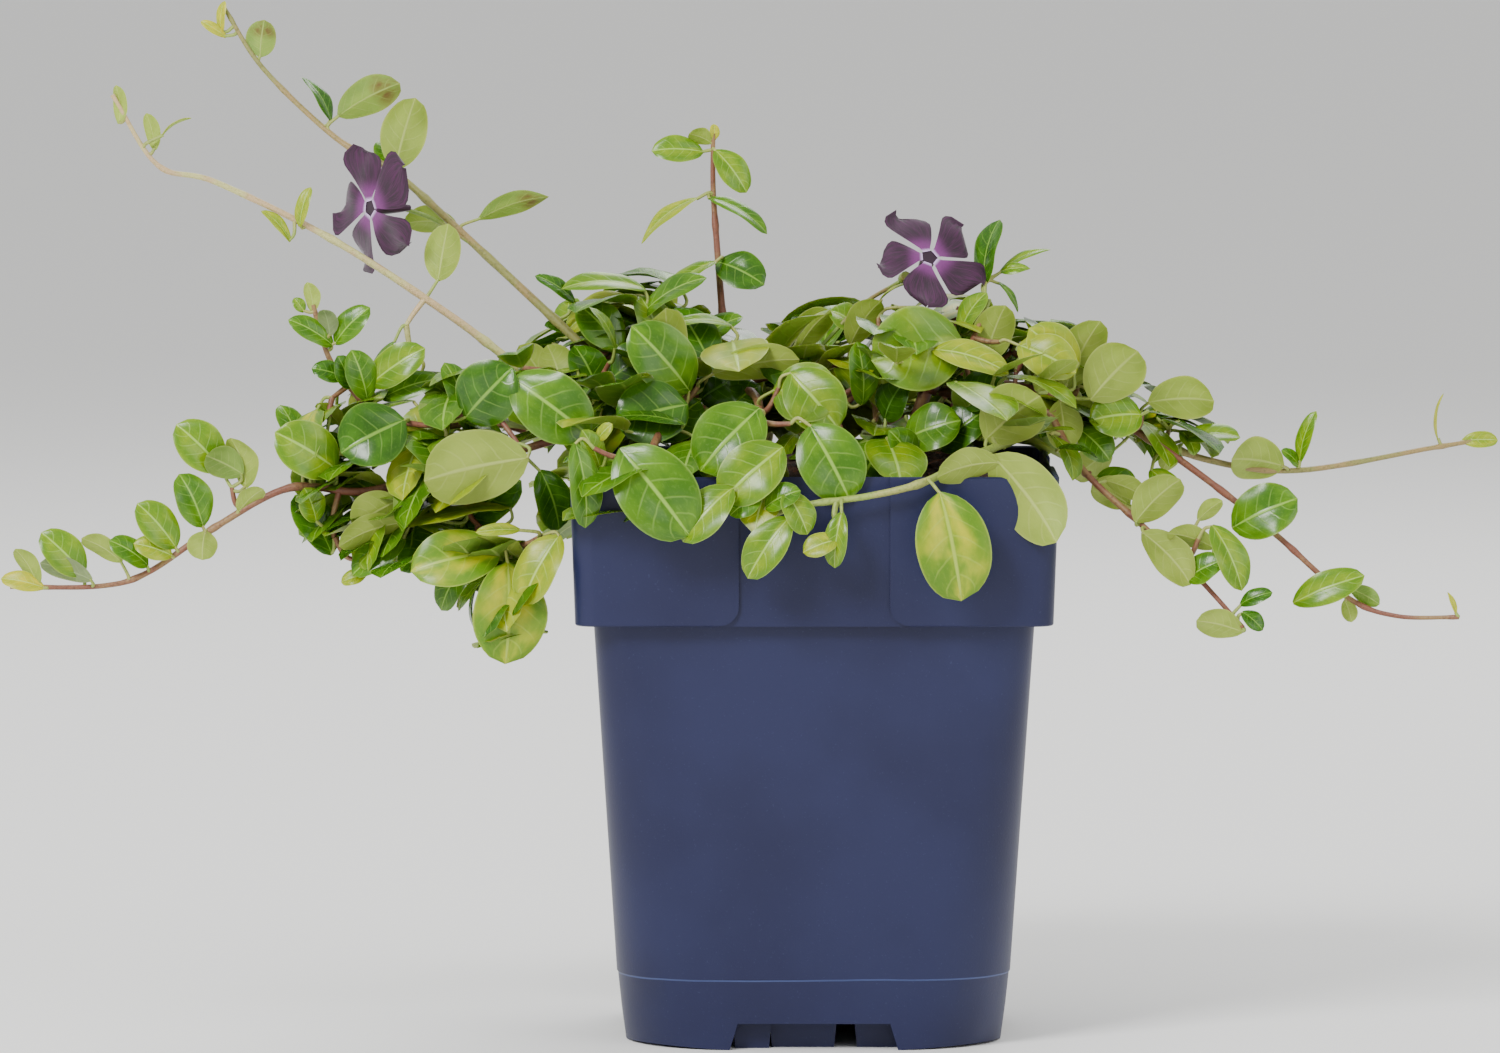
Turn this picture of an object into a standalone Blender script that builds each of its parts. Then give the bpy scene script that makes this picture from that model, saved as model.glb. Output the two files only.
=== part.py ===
"""A lesser periwinkle with dark purple flowers, growing in a square nursery pot.

Every size is in millimetres and turned to metres where a mesh is made. The origin is the
centre of the pot's flat underside, +Z is up and the pot's front faces -Y. The runners leave
a low crown that sits on the compost, and each cluster of leaves is one uneven closed mass.
"""

import math

import bmesh
import bpy
from mathutils import Matrix, Vector, noise

MM = 0.001
GAP = 0.3

# The pot: one moulding with a foot skirt, a tapered body and a wide collar
POT_HEIGHT = 131.0
COLLAR_LOW = 97.2
MOULD_LINE = 16.0
MOULD_STEP = 0.25
WALL = 1.3
COLLAR_WALL = 1.5
FLOOR_UNDER = 6.5
FLOOR_OVER = 8.0
CORNER_LIFT = 0.6
ARC_STEPS = 5

# Outer half widths and corner radii of the rounded square, by height
FOOT_EDGE = (42.9, 24.0)
FOOT_TOP = (44.9, 20.5)
BODY_TOP = (49.8, 7.0)
COLLAR_BOTTOM = (53.9, 5.0)
COLLAR_TOP = (55.1, 5.0)

# The sunk panel in the middle of each collar side, with a lower lip for a label
PANEL_HALF = 17.0
PANEL_DEPTH = 0.6
PANEL_FLARE = 4.5
LIP_TOP = 127.0
LIP_DEPTH = 1.0

# The notch in the middle of each side of the foot, and the bars behind it
NOTCH_HEIGHT = 6.1
NOTCH_HALF_TOP = 17.3
NOTCH_HALF_BOTTOM = 19.4
NOTCH_REACH = 3.7
BAR_DRAFT = 1.4
BARS = {
    "outer_bar": (-18.5, -9.5, 38.9),
    "middle_bar": (-10.2, 5.3, 36.9),
    "side_bar": (9.1, 19.6, 36.9),
}

# The compost fills the pot to just under the rim and rises in the middle
SOIL_EDGE = 127.5
SOIL_RISE = 6.0
SOIL_RINGS = (0.82, 0.55, 0.25)

# Runners: stations from the crown to the tip, then the radius at each end
RUNNER_STEPS = 2
RUNNERS = {
    "runner_high_left": (((-51, -4, 156), (-77, 2, 180), (-96, 6, 197), (-110, 10, 205),
                          (-127, 14, 221), (-136, 16, 235)), 1.05, 0.45),
    "runner_pale_left": (((-67, -12, 153), (-84, -14, 166), (-110, -18, 183), (-136, -22, 196),
                          (-149, -25, 200), (-159, -27, 216)), 1.0, 0.45),
    "shoot_left": (((-97, -20, 139), (-102, -20, 145), (-110, -20, 155), (-114, -20, 168)),
                   0.9, 0.5),
    "runner_low_left": (((-87, -28, 129), (-103, -29, 126), (-119, -31, 127), (-136, -33, 118),
                         (-151, -35, 108), (-162, -36, 105), (-182, -38, 105)), 1.0, 0.5),
    "shoot_upright": (((-20, 8, 154), (-22, 10, 178), (-23, 12, 193), (-23, 12, 206)), 0.9, 0.5),
    "runner_right": (((57, 2, 146), (75, 6, 138), (90, 9, 131), (112, 12, 128), (144, 17, 133),
                      (157, 19.5, 135)), 1.0, 0.45),
    "runner_far_right": (((68, -6, 142), (81, -8, 134), (96, -11, 123), (107, -14, 114),
                          (122, -18, 101), (133, -21, 97), (147, -25, 97)), 0.9, 0.45),
    "runner_low_right": (((54, -18, 143), (61, -26, 131), (74, -32, 119), (85, -36, 109),
                          (97, -41, 96)), 0.9, 0.5),
    "runner_front": (((44, -38, 138), (34, -52, 134.5), (24, -58.5, 130), (12, -58.5, 127),
                      (-2, -58.5, 125), (-12, -58.5, 122)), 1.0, 0.6),
    "runner_back": (((-4, 40, 150), (-8, 58, 141), (-12, 64, 122), (-16, 67, 98),
                     (-16, 69, 72)), 1.0, 0.5),
}

# Stems inside the crown: foot and top, then the radius at each end
STEMS = {
    "stem_left": (((-20, 2, 126), (-21, 1, 138), (-24, 0, 147)), 2.2, 1.6),
    "stem_right": (((22, -2, 126), (23, -3, 138), (26, -4, 148)), 2.0, 1.5),
}

# Leaf masses: centre, half sizes and tilt in degrees seen from the front
MASSES = {
    "leaves_high_left_tip": ((-132, 15, 227), (10.5, 4, 4.5), -50),
    "leaves_high_left": ((-102, 8, 210), (14.8, 6, 10.2), 0),
    "flower_left": ((-101, 0, 189), (8, 7, 14), 0),
    "leaves_high_left_inner": ((-79, 2, 185), (16.6, 6, 9.2), 8),
    "leaves_pale_left_tip": ((-152, -26, 208), (12, 4, 5.5), -45),
    "leaves_pale_left": ((-118, -19, 188), (8.4, 4.5, 7), 0),
    "leaves_shoot_left": ((-111, -20, 164), (9.6, 8, 9.1), 0),
    "leaves_low_left_inner": ((-135, -32, 129), (11, 8, 13.4), 0),
    "leaves_low_left": ((-154, -35, 113), (13.4, 6, 7.8), -15),
    "leaves_low_left_tip": ((-176, -38, 109.5), (11, 5, 6.6), 0),
    "mass_left_outer": ((-116, -28, 137), (9, 12, 10), 0),
    "mass_left_upper": ((-98, -22, 145), (14.4, 16, 15), 0),
    "mass_left_inner": ((-76, -20, 145), (11.4, 20, 11.4), 0),
    "mass_left_front": ((-77, -35, 131), (13.4, 14, 10), 0),
    "mass_left_under": ((-107, -27, 117), (13.4, 14, 12.5), 0),
    "mass_left_middle": ((-82, -30, 112), (13.8, 16, 12), 0),
    "mass_left_hanging": ((-68, -40, 101), (10.2, 9, 13.6), 0),
    "crown_left": ((-58, -14, 147), (13, 24, 13.6), 0),
    "crown_top_left": ((-43, 2, 167), (20.5, 16, 8.4), 0),
    "crown_middle_left": ((-37, -22, 150), (14, 20, 14.4), 0),
    "crown_front_left": ((-39, -52, 130), (16, 14, 13.4), 0),
    "crown_front_middle": ((-15, -47, 133), (12.6, 16, 16.4), 0),
    "crown_middle": ((-16, -10, 155), (17, 22, 10.5), 0),
    "crown_middle_right": ((6, -28, 142), (13, 22, 18.6), 0),
    "crown_right": ((26, -12, 157), (14, 22, 12.4), 0),
    "flower_right": ((35, -4, 178), (18.8, 9, 12.4), 0),
    "crown_front_right": ((43, -40, 141), (15, 16, 17), 0),
    "leaf_hanging_front": ((32, -60, 116.5), (9.6, 6, 14), 0),
    "sprig_front": ((-4, -62, 119), (12.4, 6, 10), 0),
    "mass_right_inner": ((61, -6, 149), (15.4, 20, 15.8), 0),
    "mass_right_outer": ((80, 1, 143), (14, 12, 9), 0),
    "leaves_right": ((107, 12, 129), (12, 6, 10), 0),
    "leaves_right_tip": ((152, 19, 137.5), (7.6, 3.5, 7.4), 0),
    "leaves_far_right": ((102, -12, 119), (9, 5, 8), 0),
    "leaves_far_right_tip": ((119, -17.5, 103.5), (10.8, 5, 7.4), 0),
    "leaves_low_right": ((80, -33, 117.5), (10.8, 8, 13.4), 0),
    "leaves_low_right_tip": ((95, -40, 102), (10.4, 7, 11), 0),
    "leaves_upright_top": ((-26, 12, 195.5), (15.4, 6, 13.2), 0),
    "leaves_upright_low": ((-22, 10, 173), (12, 7, 6.2), 0),
    "crown_back_left": ((-42, 31, 149), (25, 24, 15), 0),
    "crown_back_middle": ((-4, 30, 151), (20, 24, 14.5), 0),
    "crown_back_right": ((36, 28, 149), (26, 24, 15), 0),
    "mass_back_left": ((-44, 63, 130), (20, 10, 20), 0),
    "mass_back_right": ((30, 63, 128), (23, 10, 23), 0),
    "leaves_back_tip": ((-16, 68, 82), (10, 6, 15), 0),
}
LUMP_FINENESS = 2
UNEVENNESS = 0.32
LUMP_SIZE = 1.5

MATERIALS = {
    "moulded_blue_plastic": ((0.022, 0.032, 0.085), 0.45),
    "moist_peat": ((0.030, 0.018, 0.011), 0.95),
    "runner_bark": ((0.235, 0.150, 0.065), 0.6),
    "crown_stem_bark": ((0.150, 0.070, 0.040), 0.75),
    "fresh_leaf": ((0.150, 0.290, 0.035), 0.4),
    "dark_petal": ((0.075, 0.012, 0.120), 0.55),
}


def clear_scene():
    for old in list(bpy.data.objects):
        bpy.data.objects.remove(old, do_unlink=True)


def new_collection(name):
    group = bpy.data.collections.new(name)
    bpy.context.scene.collection.children.link(group)
    return group


def make_material(name):
    colour, roughness = MATERIALS[name]
    material = bpy.data.materials.new(name)
    material.use_nodes = True
    shader = material.node_tree.nodes["Principled BSDF"]
    shader.inputs["Base Color"].default_value = (*colour, 1.0)
    shader.inputs["Roughness"].default_value = roughness
    shader.inputs["Metallic"].default_value = 0.0
    return material


def add_mesh(name, mesh, group, material=None):
    piece = bpy.data.objects.new(name, mesh)
    group.objects.link(piece)
    if material:
        mesh.materials.clear()
        mesh.materials.append(material)
    return piece


def add_from_bmesh(name, bm, group, material=None):
    """Make a closed body an object, with its faces pointing out."""
    bmesh.ops.recalc_face_normals(bm, faces=bm.faces)
    if bm.calc_volume(signed=True) < 0:
        bmesh.ops.reverse_faces(bm, faces=bm.faces)
    bmesh.ops.triangulate(bm, faces=bm.faces)
    mesh = bpy.data.meshes.new(name)
    bm.to_mesh(mesh)
    bm.free()
    return add_mesh(name, mesh, group, material)


def as_cutter(piece):
    piece.hide_render = True
    piece.display_type = "WIRE"
    return piece


def apply_tools(piece, tools, operation):
    """Cut or join each tool into the piece and return the finished mesh."""
    for tool in tools:
        boolean = piece.modifiers.new(tool.name, "BOOLEAN")
        boolean.operation = operation
        boolean.solver = "EXACT"
        boolean.object = tool
    graph = bpy.context.evaluated_depsgraph_get()
    mesh = bpy.data.meshes.new_from_object(piece.evaluated_get(graph))
    piece.modifiers.clear()
    piece.data = mesh
    return piece


def rounded_square(half, radius):
    """The outline of a rounded square as x, y and the place within each corner, 0 to 1."""
    points = []
    for corner in range(4):
        turn = corner * math.pi / 2
        reach = (half - radius) * math.sqrt(2)
        centre_x = reach * math.cos(turn + math.pi / 4)
        centre_y = reach * math.sin(turn + math.pi / 4)
        for step in range(ARC_STEPS + 1):
            place = step / ARC_STEPS
            angle = turn + place * math.pi / 2
            points.append((centre_x + radius * math.cos(angle),
                           centre_y + radius * math.sin(angle), place))
    return points


def loft(bm, sections):
    """Skin rounded squares given as height, half width, radius and corner lift."""
    rings = []
    for height, half, radius, lift in sections:
        ring = []
        for x, y, place in rounded_square(half, radius):
            rise = lift * math.sin(math.pi * place)
            ring.append(bm.verts.new(Vector((x, y, height + rise)) * MM))
        rings.append(ring)
    count = len(rings[0])
    for lower, upper in zip(rings, rings[1:]):
        for i in range(count):
            j = (i + 1) % count
            bm.faces.new((lower[i], lower[j], upper[j], upper[i]))
    bm.faces.new(rings[0])
    bm.faces.new(rings[-1])


def between(low, high, share):
    return tuple(a + (b - a) * share for a, b in zip(low, high))


def body_section(height, inset):
    """Half width and radius of the body at a height, set in from its outer face."""
    share = (height - MOULD_LINE) / (COLLAR_LOW - MOULD_LINE)
    if height < MOULD_LINE:
        half, radius = between(FOOT_EDGE, FOOT_TOP, height / MOULD_LINE)
    else:
        half, radius = between(FOOT_TOP, BODY_TOP, share)
    return half - inset, radius - inset


def collar_section(height, inset):
    share = (height - COLLAR_LOW) / (POT_HEIGHT - COLLAR_LOW)
    half, radius = between(COLLAR_BOTTOM, COLLAR_TOP, share)
    return half - inset, radius - inset


def section(height, size, lift=0.0):
    return (height, size[0], size[1], lift)


def pot_sections():
    """Down the skirt's inside, up the outer face, over the rim and down the inner wall."""
    ledge = COLLAR_LOW + WALL
    return [
        section(FLOOR_UNDER, body_section(FLOOR_UNDER, WALL)),
        section(0.0, body_section(0.0, WALL), CORNER_LIFT),
        section(0.0, body_section(0.0, 0.0), CORNER_LIFT),
        section(MOULD_LINE, body_section(MOULD_LINE, MOULD_STEP)),
        section(MOULD_LINE, body_section(MOULD_LINE, 0.0)),
        section(COLLAR_LOW, body_section(COLLAR_LOW, 0.0)),
        section(COLLAR_LOW, collar_section(COLLAR_LOW, 0.0)),
        section(POT_HEIGHT, collar_section(POT_HEIGHT, 0.0)),
        section(POT_HEIGHT, collar_section(POT_HEIGHT, COLLAR_WALL)),
        section(ledge, collar_section(ledge, COLLAR_WALL)),
        section(ledge, body_section(COLLAR_LOW, WALL)),
        section(MOULD_LINE, body_section(MOULD_LINE, WALL)),
        section(FLOOR_OVER, body_section(FLOOR_OVER, WALL)),
    ]


def soil_sections():
    """The compost, GAP clear of the pot's inside, with its domed top."""
    ledge = COLLAR_LOW + WALL + GAP
    inside = WALL + GAP
    edge = collar_section(SOIL_EDGE, COLLAR_WALL + GAP)
    sections = [
        section(FLOOR_OVER + GAP, body_section(FLOOR_OVER + GAP, inside)),
        section(MOULD_LINE, body_section(MOULD_LINE, inside)),
        section(ledge, body_section(COLLAR_LOW, inside)),
        section(ledge, collar_section(ledge, COLLAR_WALL + GAP)),
        section(SOIL_EDGE, edge),
    ]
    return sections + dome_sections(edge, 0.0)


def dome_sections(edge, grow):
    """The rings of the compost's domed top, raised by grow."""
    sections = []
    for share in SOIL_RINGS:
        rise = SOIL_RISE * math.cos(share * math.pi / 2)
        half = edge[0] * share
        radius = half * (1.0 - 0.6 * share)
        sections.append(section(SOIL_EDGE + rise + grow, (half, radius)))
    return sections


def envelope_sections():
    """The outside of the pot with its compost, grown by the gap, to clear the plant."""
    rim = collar_section(POT_HEIGHT, -GAP)
    edge = collar_section(SOIL_EDGE, COLLAR_WALL + GAP)
    dome = [entry for entry in dome_sections(edge, GAP) if entry[0] > POT_HEIGHT + GAP]
    return [
        section(0.0, body_section(0.0, -GAP)),
        section(MOULD_LINE, body_section(MOULD_LINE, -GAP)),
        section(COLLAR_LOW - GAP, body_section(COLLAR_LOW, -GAP)),
        section(COLLAR_LOW - GAP, collar_section(COLLAR_LOW, -GAP)),
        section(POT_HEIGHT + GAP, rim),
        section(POT_HEIGHT + GAP, (edge[0] * 0.8, edge[0] * 0.4)),
    ] + dome


def panel_outline():
    """The sunk panel seen from the front: straight sides that flare round at the foot."""
    points = [(PANEL_HALF, POT_HEIGHT + 1.0)]
    for step in range(ARC_STEPS + 1):
        angle = math.pi / 2 * step / ARC_STEPS
        points.append((PANEL_HALF + PANEL_FLARE * (1.0 - math.cos(angle)),
                       COLLAR_LOW + PANEL_FLARE * (1.0 - math.sin(angle))))
    points.append((points[-1][0], COLLAR_LOW - 1.0))
    return points + [(-x, z) for x, z in reversed(points)]


def side_cutter(name, outline, depth, side, group):
    """A prism that bites into one collar side to an even depth."""
    bm = bmesh.new()
    near = []
    far = []
    for x, z in outline:
        face = collar_section(z, 0.0)[0]
        near.append(bm.verts.new(Vector((x, -face - 2.0, z)) * MM))
        far.append(bm.verts.new(Vector((x, -face + depth, z)) * MM))
    count = len(near)
    for i in range(count):
        j = (i + 1) % count
        bm.faces.new((near[i], near[j], far[j], far[i]))
    bm.faces.new(near)
    bm.faces.new(far)
    bm.transform(Matrix.Rotation(side * math.pi / 2, 4, "Z"))
    return as_cutter(add_from_bmesh(name, bm, group))


def tapered_block(name, low, high, shrink, group, side=0):
    """A box from low to high whose bottom face is narrower in x by shrink on each side."""
    bm = bmesh.new()
    bmesh.ops.create_cube(bm, size=1.0)
    for vert in bm.verts:
        corner = [high[k] if vert.co[k] > 0 else low[k] for k in range(3)]
        if vert.co.z < 0:
            corner[0] += shrink if vert.co.x < 0 else -shrink
        vert.co = Vector(corner) * MM
    bm.transform(Matrix.Rotation(side * math.pi / 2, 4, "Z"))
    return as_cutter(add_from_bmesh(name, bm, group))


def build_pot(parts, cutters, material):
    bm = bmesh.new()
    loft(bm, pot_sections())
    pot = add_from_bmesh("pot", bm, parts, material)
    bars = []
    for name, (low_x, high_x, reach) in BARS.items():
        bars.append(tapered_block(name, (low_x, -reach, 0.0), (high_x, reach, FLOOR_UNDER + 0.5),
                                  BAR_DRAFT / 2, cutters))
    apply_tools(pot, bars, "UNION")
    foot_half = FOOT_EDGE[0]
    lip = [(PANEL_HALF, POT_HEIGHT + 1.0), (PANEL_HALF, LIP_TOP),
           (-PANEL_HALF, LIP_TOP), (-PANEL_HALF, POT_HEIGHT + 1.0)]
    cuts = []
    for side in range(4):
        cuts.append(side_cutter(f"panel_{side}", panel_outline(), PANEL_DEPTH, side, cutters))
        cuts.append(side_cutter(f"lip_{side}", lip, LIP_DEPTH, side, cutters))
        low = (-NOTCH_HALF_TOP, -foot_half - 5.0, -1.0)
        high = (NOTCH_HALF_TOP, -foot_half + NOTCH_REACH, NOTCH_HEIGHT)
        cuts.append(tapered_block(f"notch_{side}", low, high,
                                  NOTCH_HALF_TOP - NOTCH_HALF_BOTTOM, cutters, side))
    apply_tools(pot, cuts, "DIFFERENCE")
    return pot


def smooth_route(stations):
    """A smooth line through the stations, as points in order."""
    points = [Vector(station) for station in stations]
    padded = [points[0] * 2 - points[1]] + points + [points[-1] * 2 - points[-2]]
    route = []
    for before, start, end, after in zip(padded, padded[1:], padded[2:], padded[3:]):
        for step in range(RUNNER_STEPS):
            t = step / RUNNER_STEPS
            route.append(0.5 * (2 * start + (end - before) * t
                                + (2 * before - 5 * start + 4 * end - after) * t * t
                                + (3 * start - before - 3 * end + after) * t ** 3))
    route.append(points[-1])
    return route


def limb(name, stations, thick, thin, group, material=None, grow=0.0):
    """A tapering limb; grow makes it that much larger all round."""
    route = smooth_route(stations)
    first = (route[0] - route[1]).normalized()
    last = (route[-1] - route[-2]).normalized()
    route[0] = route[0] + first * grow
    route[-1] = route[-1] + last * grow
    curve = bpy.data.curves.new(name, "CURVE")
    curve.dimensions = "3D"
    curve.bevel_depth = MM
    curve.bevel_resolution = 1
    curve.use_fill_caps = True
    spline = curve.splines.new("POLY")
    spline.points.add(len(route) - 1)
    for i, place in enumerate(route):
        share = i / (len(route) - 1)
        spline.points[i].co = (*(place * MM), 1.0)
        spline.points[i].radius = thick + (thin - thick) * share + grow
    tube = bpy.data.objects.new(name + "_curve", curve)
    group.objects.link(tube)
    graph = bpy.context.evaluated_depsgraph_get()
    mesh = bpy.data.meshes.new_from_object(tube.evaluated_get(graph))
    bpy.data.objects.remove(tube, do_unlink=True)
    bm = bmesh.new()
    bm.from_mesh(mesh)
    bmesh.ops.remove_doubles(bm, verts=bm.verts, dist=1e-6)
    return add_from_bmesh(name, bm, group, material)


def reach_towards(radii, tilt, direction):
    """How far an upright or tilted ellipsoid reaches from its centre in a direction."""
    local = Matrix.Rotation(-math.radians(tilt), 3, "Y").inverted() @ direction
    return 1.0 / math.sqrt(sum((local[k] / radii[k]) ** 2 for k in range(3)))


def lump(centre, radii, tilt, seed):
    """An ellipsoid with seeded bulges and hollows."""
    bm = bmesh.new()
    bmesh.ops.create_icosphere(bm, subdivisions=LUMP_FINENESS, radius=1.0)
    turn = Matrix.Rotation(-math.radians(tilt), 3, "Y")
    shift = Vector((seed * 7.3, seed * 3.1, seed * 5.7))
    for vert in bm.verts:
        bulge = 1.0 + UNEVENNESS * noise.noise(vert.co * LUMP_SIZE + shift)
        stretched = Vector([vert.co[k] * radii[k] * bulge for k in range(3)])
        vert.co = (Vector(centre) + turn @ stretched) * MM
    return bm


def trim(bm, point, normal):
    """Cut the mass flat and close it; the side that normal points to goes."""
    geometry = bm.verts[:] + bm.edges[:] + bm.faces[:]
    bmesh.ops.bisect_plane(bm, geom=geometry, dist=1e-7, plane_co=point * MM,
                           plane_no=normal, clear_outer=True)
    open_edges = [edge for edge in bm.edges if edge.is_boundary]
    if open_edges:
        bmesh.ops.holes_fill(bm, edges=open_edges)


def boxes_meet(first, second):
    """Whether the boxes round two masses come near each other."""
    reach_a = [max(first[1]) if first[2] else size for size in first[1]]
    reach_b = [max(second[1]) if second[2] else size for size in second[1]]
    margin = 1.0 + UNEVENNESS * 0.6
    return all(abs(first[0][k] - second[0][k]) < (reach_a[k] + reach_b[k]) * margin
               for k in range(3))


def trim_to_neighbours(bm, name):
    """Part the mass from each neighbour by a flat gap between their centres."""
    mine = MASSES[name]
    for other, theirs in MASSES.items():
        if other == name or not boxes_meet(mine, theirs):
            continue
        line = Vector(theirs[0]) - Vector(mine[0])
        direction = line.normalized()
        my_reach = reach_towards(mine[1], mine[2], direction)
        their_reach = reach_towards(theirs[1], theirs[2], direction)
        distance = line.length * my_reach / (my_reach + their_reach)
        trim(bm, Vector(mine[0]) + direction * (distance - GAP / 2), direction)


def keep_largest(piece):
    """Drop the crumbs that a cut leaves beside the main body."""
    bm = bmesh.new()
    bm.from_mesh(piece.data)
    bmesh.ops.remove_doubles(bm, verts=bm.verts, dist=1e-6)
    bmesh.ops.dissolve_degenerate(bm, edges=bm.edges, dist=1e-6)
    left = set(bm.faces)
    islands = []
    while left:
        front = [left.pop()]
        island = list(front)
        while front:
            face = front.pop()
            for edge in face.edges:
                for near in edge.link_faces:
                    if near in left:
                        left.remove(near)
                        front.append(near)
                        island.append(near)
        islands.append(island)
    islands.sort(key=lambda faces: sum(face.calc_area() for face in faces))
    for island in islands[:-1]:
        bmesh.ops.delete(bm, geom=island, context="FACES")
    bmesh.ops.triangulate(bm, faces=bm.faces)
    bm.to_mesh(piece.data)
    bm.free()


def tools_near(piece, tools):
    """The tools whose boxes meet the piece's box."""
    low, high = span(piece)
    near = []
    for tool in tools:
        tool_low, tool_high = span(tool)
        if all(tool_low[k] < high[k] and tool_high[k] > low[k] for k in range(3)):
            near.append(tool)
    return near


def span(piece):
    corners = [vert.co for vert in piece.data.vertices]
    low = [min(corner[k] for corner in corners) for k in range(3)]
    high = [max(corner[k] for corner in corners) for k in range(3)]
    return low, high


def build():
    clear_scene()
    parts = new_collection("potted_lesser_periwinkle")
    cutters = new_collection("cutters")
    finish = {name: make_material(name) for name in MATERIALS}

    build_pot(parts, cutters, finish["moulded_blue_plastic"])
    bm = bmesh.new()
    loft(bm, soil_sections())
    add_from_bmesh("soil", bm, parts, finish["moist_peat"])
    bm = bmesh.new()
    loft(bm, envelope_sections())
    envelope = as_cutter(add_from_bmesh("pot_clearance", bm, cutters))

    sleeves = [envelope]
    for name, (stations, thick, thin) in RUNNERS.items():
        limb(name, stations, thick, thin, parts, finish["runner_bark"])
        sleeves.append(as_cutter(limb(name + "_sleeve", stations, thick, thin, cutters,
                                      grow=GAP)))
    for name, (stations, thick, thin) in STEMS.items():
        stem = limb(name, stations, thick, thin, parts, finish["crown_stem_bark"])
        apply_tools(stem, [envelope], "DIFFERENCE")
        keep_largest(stem)
        sleeves.append(as_cutter(limb(name + "_sleeve", stations, thick, thin, cutters,
                                      grow=GAP)))

    for seed, (name, (centre, radii, tilt)) in enumerate(MASSES.items()):
        bm = lump(centre, radii, tilt, seed)
        trim_to_neighbours(bm, name)
        look = "dark_petal" if name.startswith("flower") else "fresh_leaf"
        mass = add_from_bmesh(name, bm, parts, finish[look])
        apply_tools(mass, tools_near(mass, sleeves), "DIFFERENCE")
        keep_largest(mass)

    for cutter in cutters.objects:
        cutter.hide_set(True)


build()
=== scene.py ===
import math
import random
from functools import partial

import bmesh
import bpy
import numpy as np
from mathutils import Matrix, Vector, noise


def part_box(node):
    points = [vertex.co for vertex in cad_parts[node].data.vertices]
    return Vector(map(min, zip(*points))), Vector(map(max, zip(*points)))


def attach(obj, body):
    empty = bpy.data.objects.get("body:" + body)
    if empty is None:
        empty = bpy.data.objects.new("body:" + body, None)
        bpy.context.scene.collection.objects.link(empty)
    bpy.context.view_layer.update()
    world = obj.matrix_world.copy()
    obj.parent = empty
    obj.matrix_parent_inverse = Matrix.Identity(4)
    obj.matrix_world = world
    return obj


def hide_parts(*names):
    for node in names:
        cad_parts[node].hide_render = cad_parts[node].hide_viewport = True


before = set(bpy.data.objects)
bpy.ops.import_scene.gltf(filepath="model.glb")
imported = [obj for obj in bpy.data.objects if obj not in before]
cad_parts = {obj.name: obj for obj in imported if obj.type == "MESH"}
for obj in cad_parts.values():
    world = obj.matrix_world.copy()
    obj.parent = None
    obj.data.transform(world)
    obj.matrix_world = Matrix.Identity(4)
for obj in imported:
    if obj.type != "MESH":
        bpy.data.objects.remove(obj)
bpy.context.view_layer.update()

# Lengths are in millimetres and turned to metres where a mesh is made
MM = 0.001
SEED = 7
chance = random.Random(SEED)
UP = Vector((0, 0, 1))

# The photo's frame, and the camera that gives its view of the pot
PHOTO_WIDE = 1500
PHOTO_HIGH = 1053
SENSOR = 36.0
FOCAL_PIXELS = 9555.0
LOOK_AT = Vector((-14.5, 0.0, 115.9))
CAMERA_DISTANCE = 2200.0
CAMERA_RISE = math.radians(4.2)
CAMERA_PLACE = LOOK_AT + CAMERA_DISTANCE * Vector((0.0, -math.cos(CAMERA_RISE),
                                                   math.sin(CAMERA_RISE)))
CAMERA_AHEAD = (LOOK_AT - CAMERA_PLACE).normalized()
CAMERA_UP = Vector((0.0, math.sin(CAMERA_RISE), math.cos(CAMERA_RISE)))

# Runners as in the model: stations from crown to tip, radius at each end, and the bark
RUNNERS = {
    "runner_high_left": (((-51, -4, 156), (-77, 2, 180), (-96, 6, 197), (-110, 10, 205),
                          (-127, 14, 221), (-136, 16, 235)), 1.05, 0.45, "olive"),
    "runner_pale_left": (((-67, -12, 153), (-84, -14, 166), (-110, -18, 183), (-136, -22, 196),
                          (-149, -25, 200), (-159, -27, 216)), 1.0, 0.45, "cream"),
    "shoot_left": (((-97, -20, 139), (-102, -20, 145), (-110, -20, 155), (-114, -20, 168)),
                   0.9, 0.5, "red"),
    "runner_low_left": (((-87, -28, 129), (-103, -29, 126), (-119, -31, 127), (-136, -33, 118),
                         (-151, -35, 108), (-162, -36, 105), (-182, -38, 105)), 1.0, 0.5,
                        "red"),
    "shoot_upright": (((-20, 8, 154), (-22, 10, 178), (-23, 12, 193), (-23, 12, 206)),
                      0.9, 0.5, "red"),
    "runner_right": (((57, 2, 146), (75, 6, 138), (90, 9, 131), (112, 12, 128),
                      (144, 17, 133), (157, 19.5, 135)), 1.0, 0.45, "olive"),
    "runner_far_right": (((68, -6, 142), (81, -8, 134), (96, -11, 123), (107, -14, 114),
                          (122, -18, 101), (133, -21, 97), (147, -25, 97)), 0.9, 0.45, "red"),
    "runner_low_right": (((54, -18, 143), (61, -26, 131), (74, -32, 119), (85, -36, 109),
                          (97, -41, 96)), 0.9, 0.5, "red"),
    "runner_front": (((44, -38, 138), (34, -52, 134.5), (24, -58.5, 130), (12, -58.5, 127),
                      (-2, -58.5, 125), (-12, -58.5, 122)), 1.0, 0.6, "green"),
    "runner_back": (((-4, 40, 150), (-8, 58, 141), (-12, 64, 122), (-16, 67, 98),
                     (-16, 69, 72)), 1.0, 0.5, "olive"),
}
# Short stems from the compost up into the crown, in the same form
STEMS = {
    "stem_left": (((-20, 2, 126), (-21, 1, 138), (-24, 0, 147)), 2.2, 1.6, "red"),
    "stem_right": (((22, -2, 126), (23, -3, 138), (26, -4, 148)), 2.0, 1.5, "red"),
}
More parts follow.
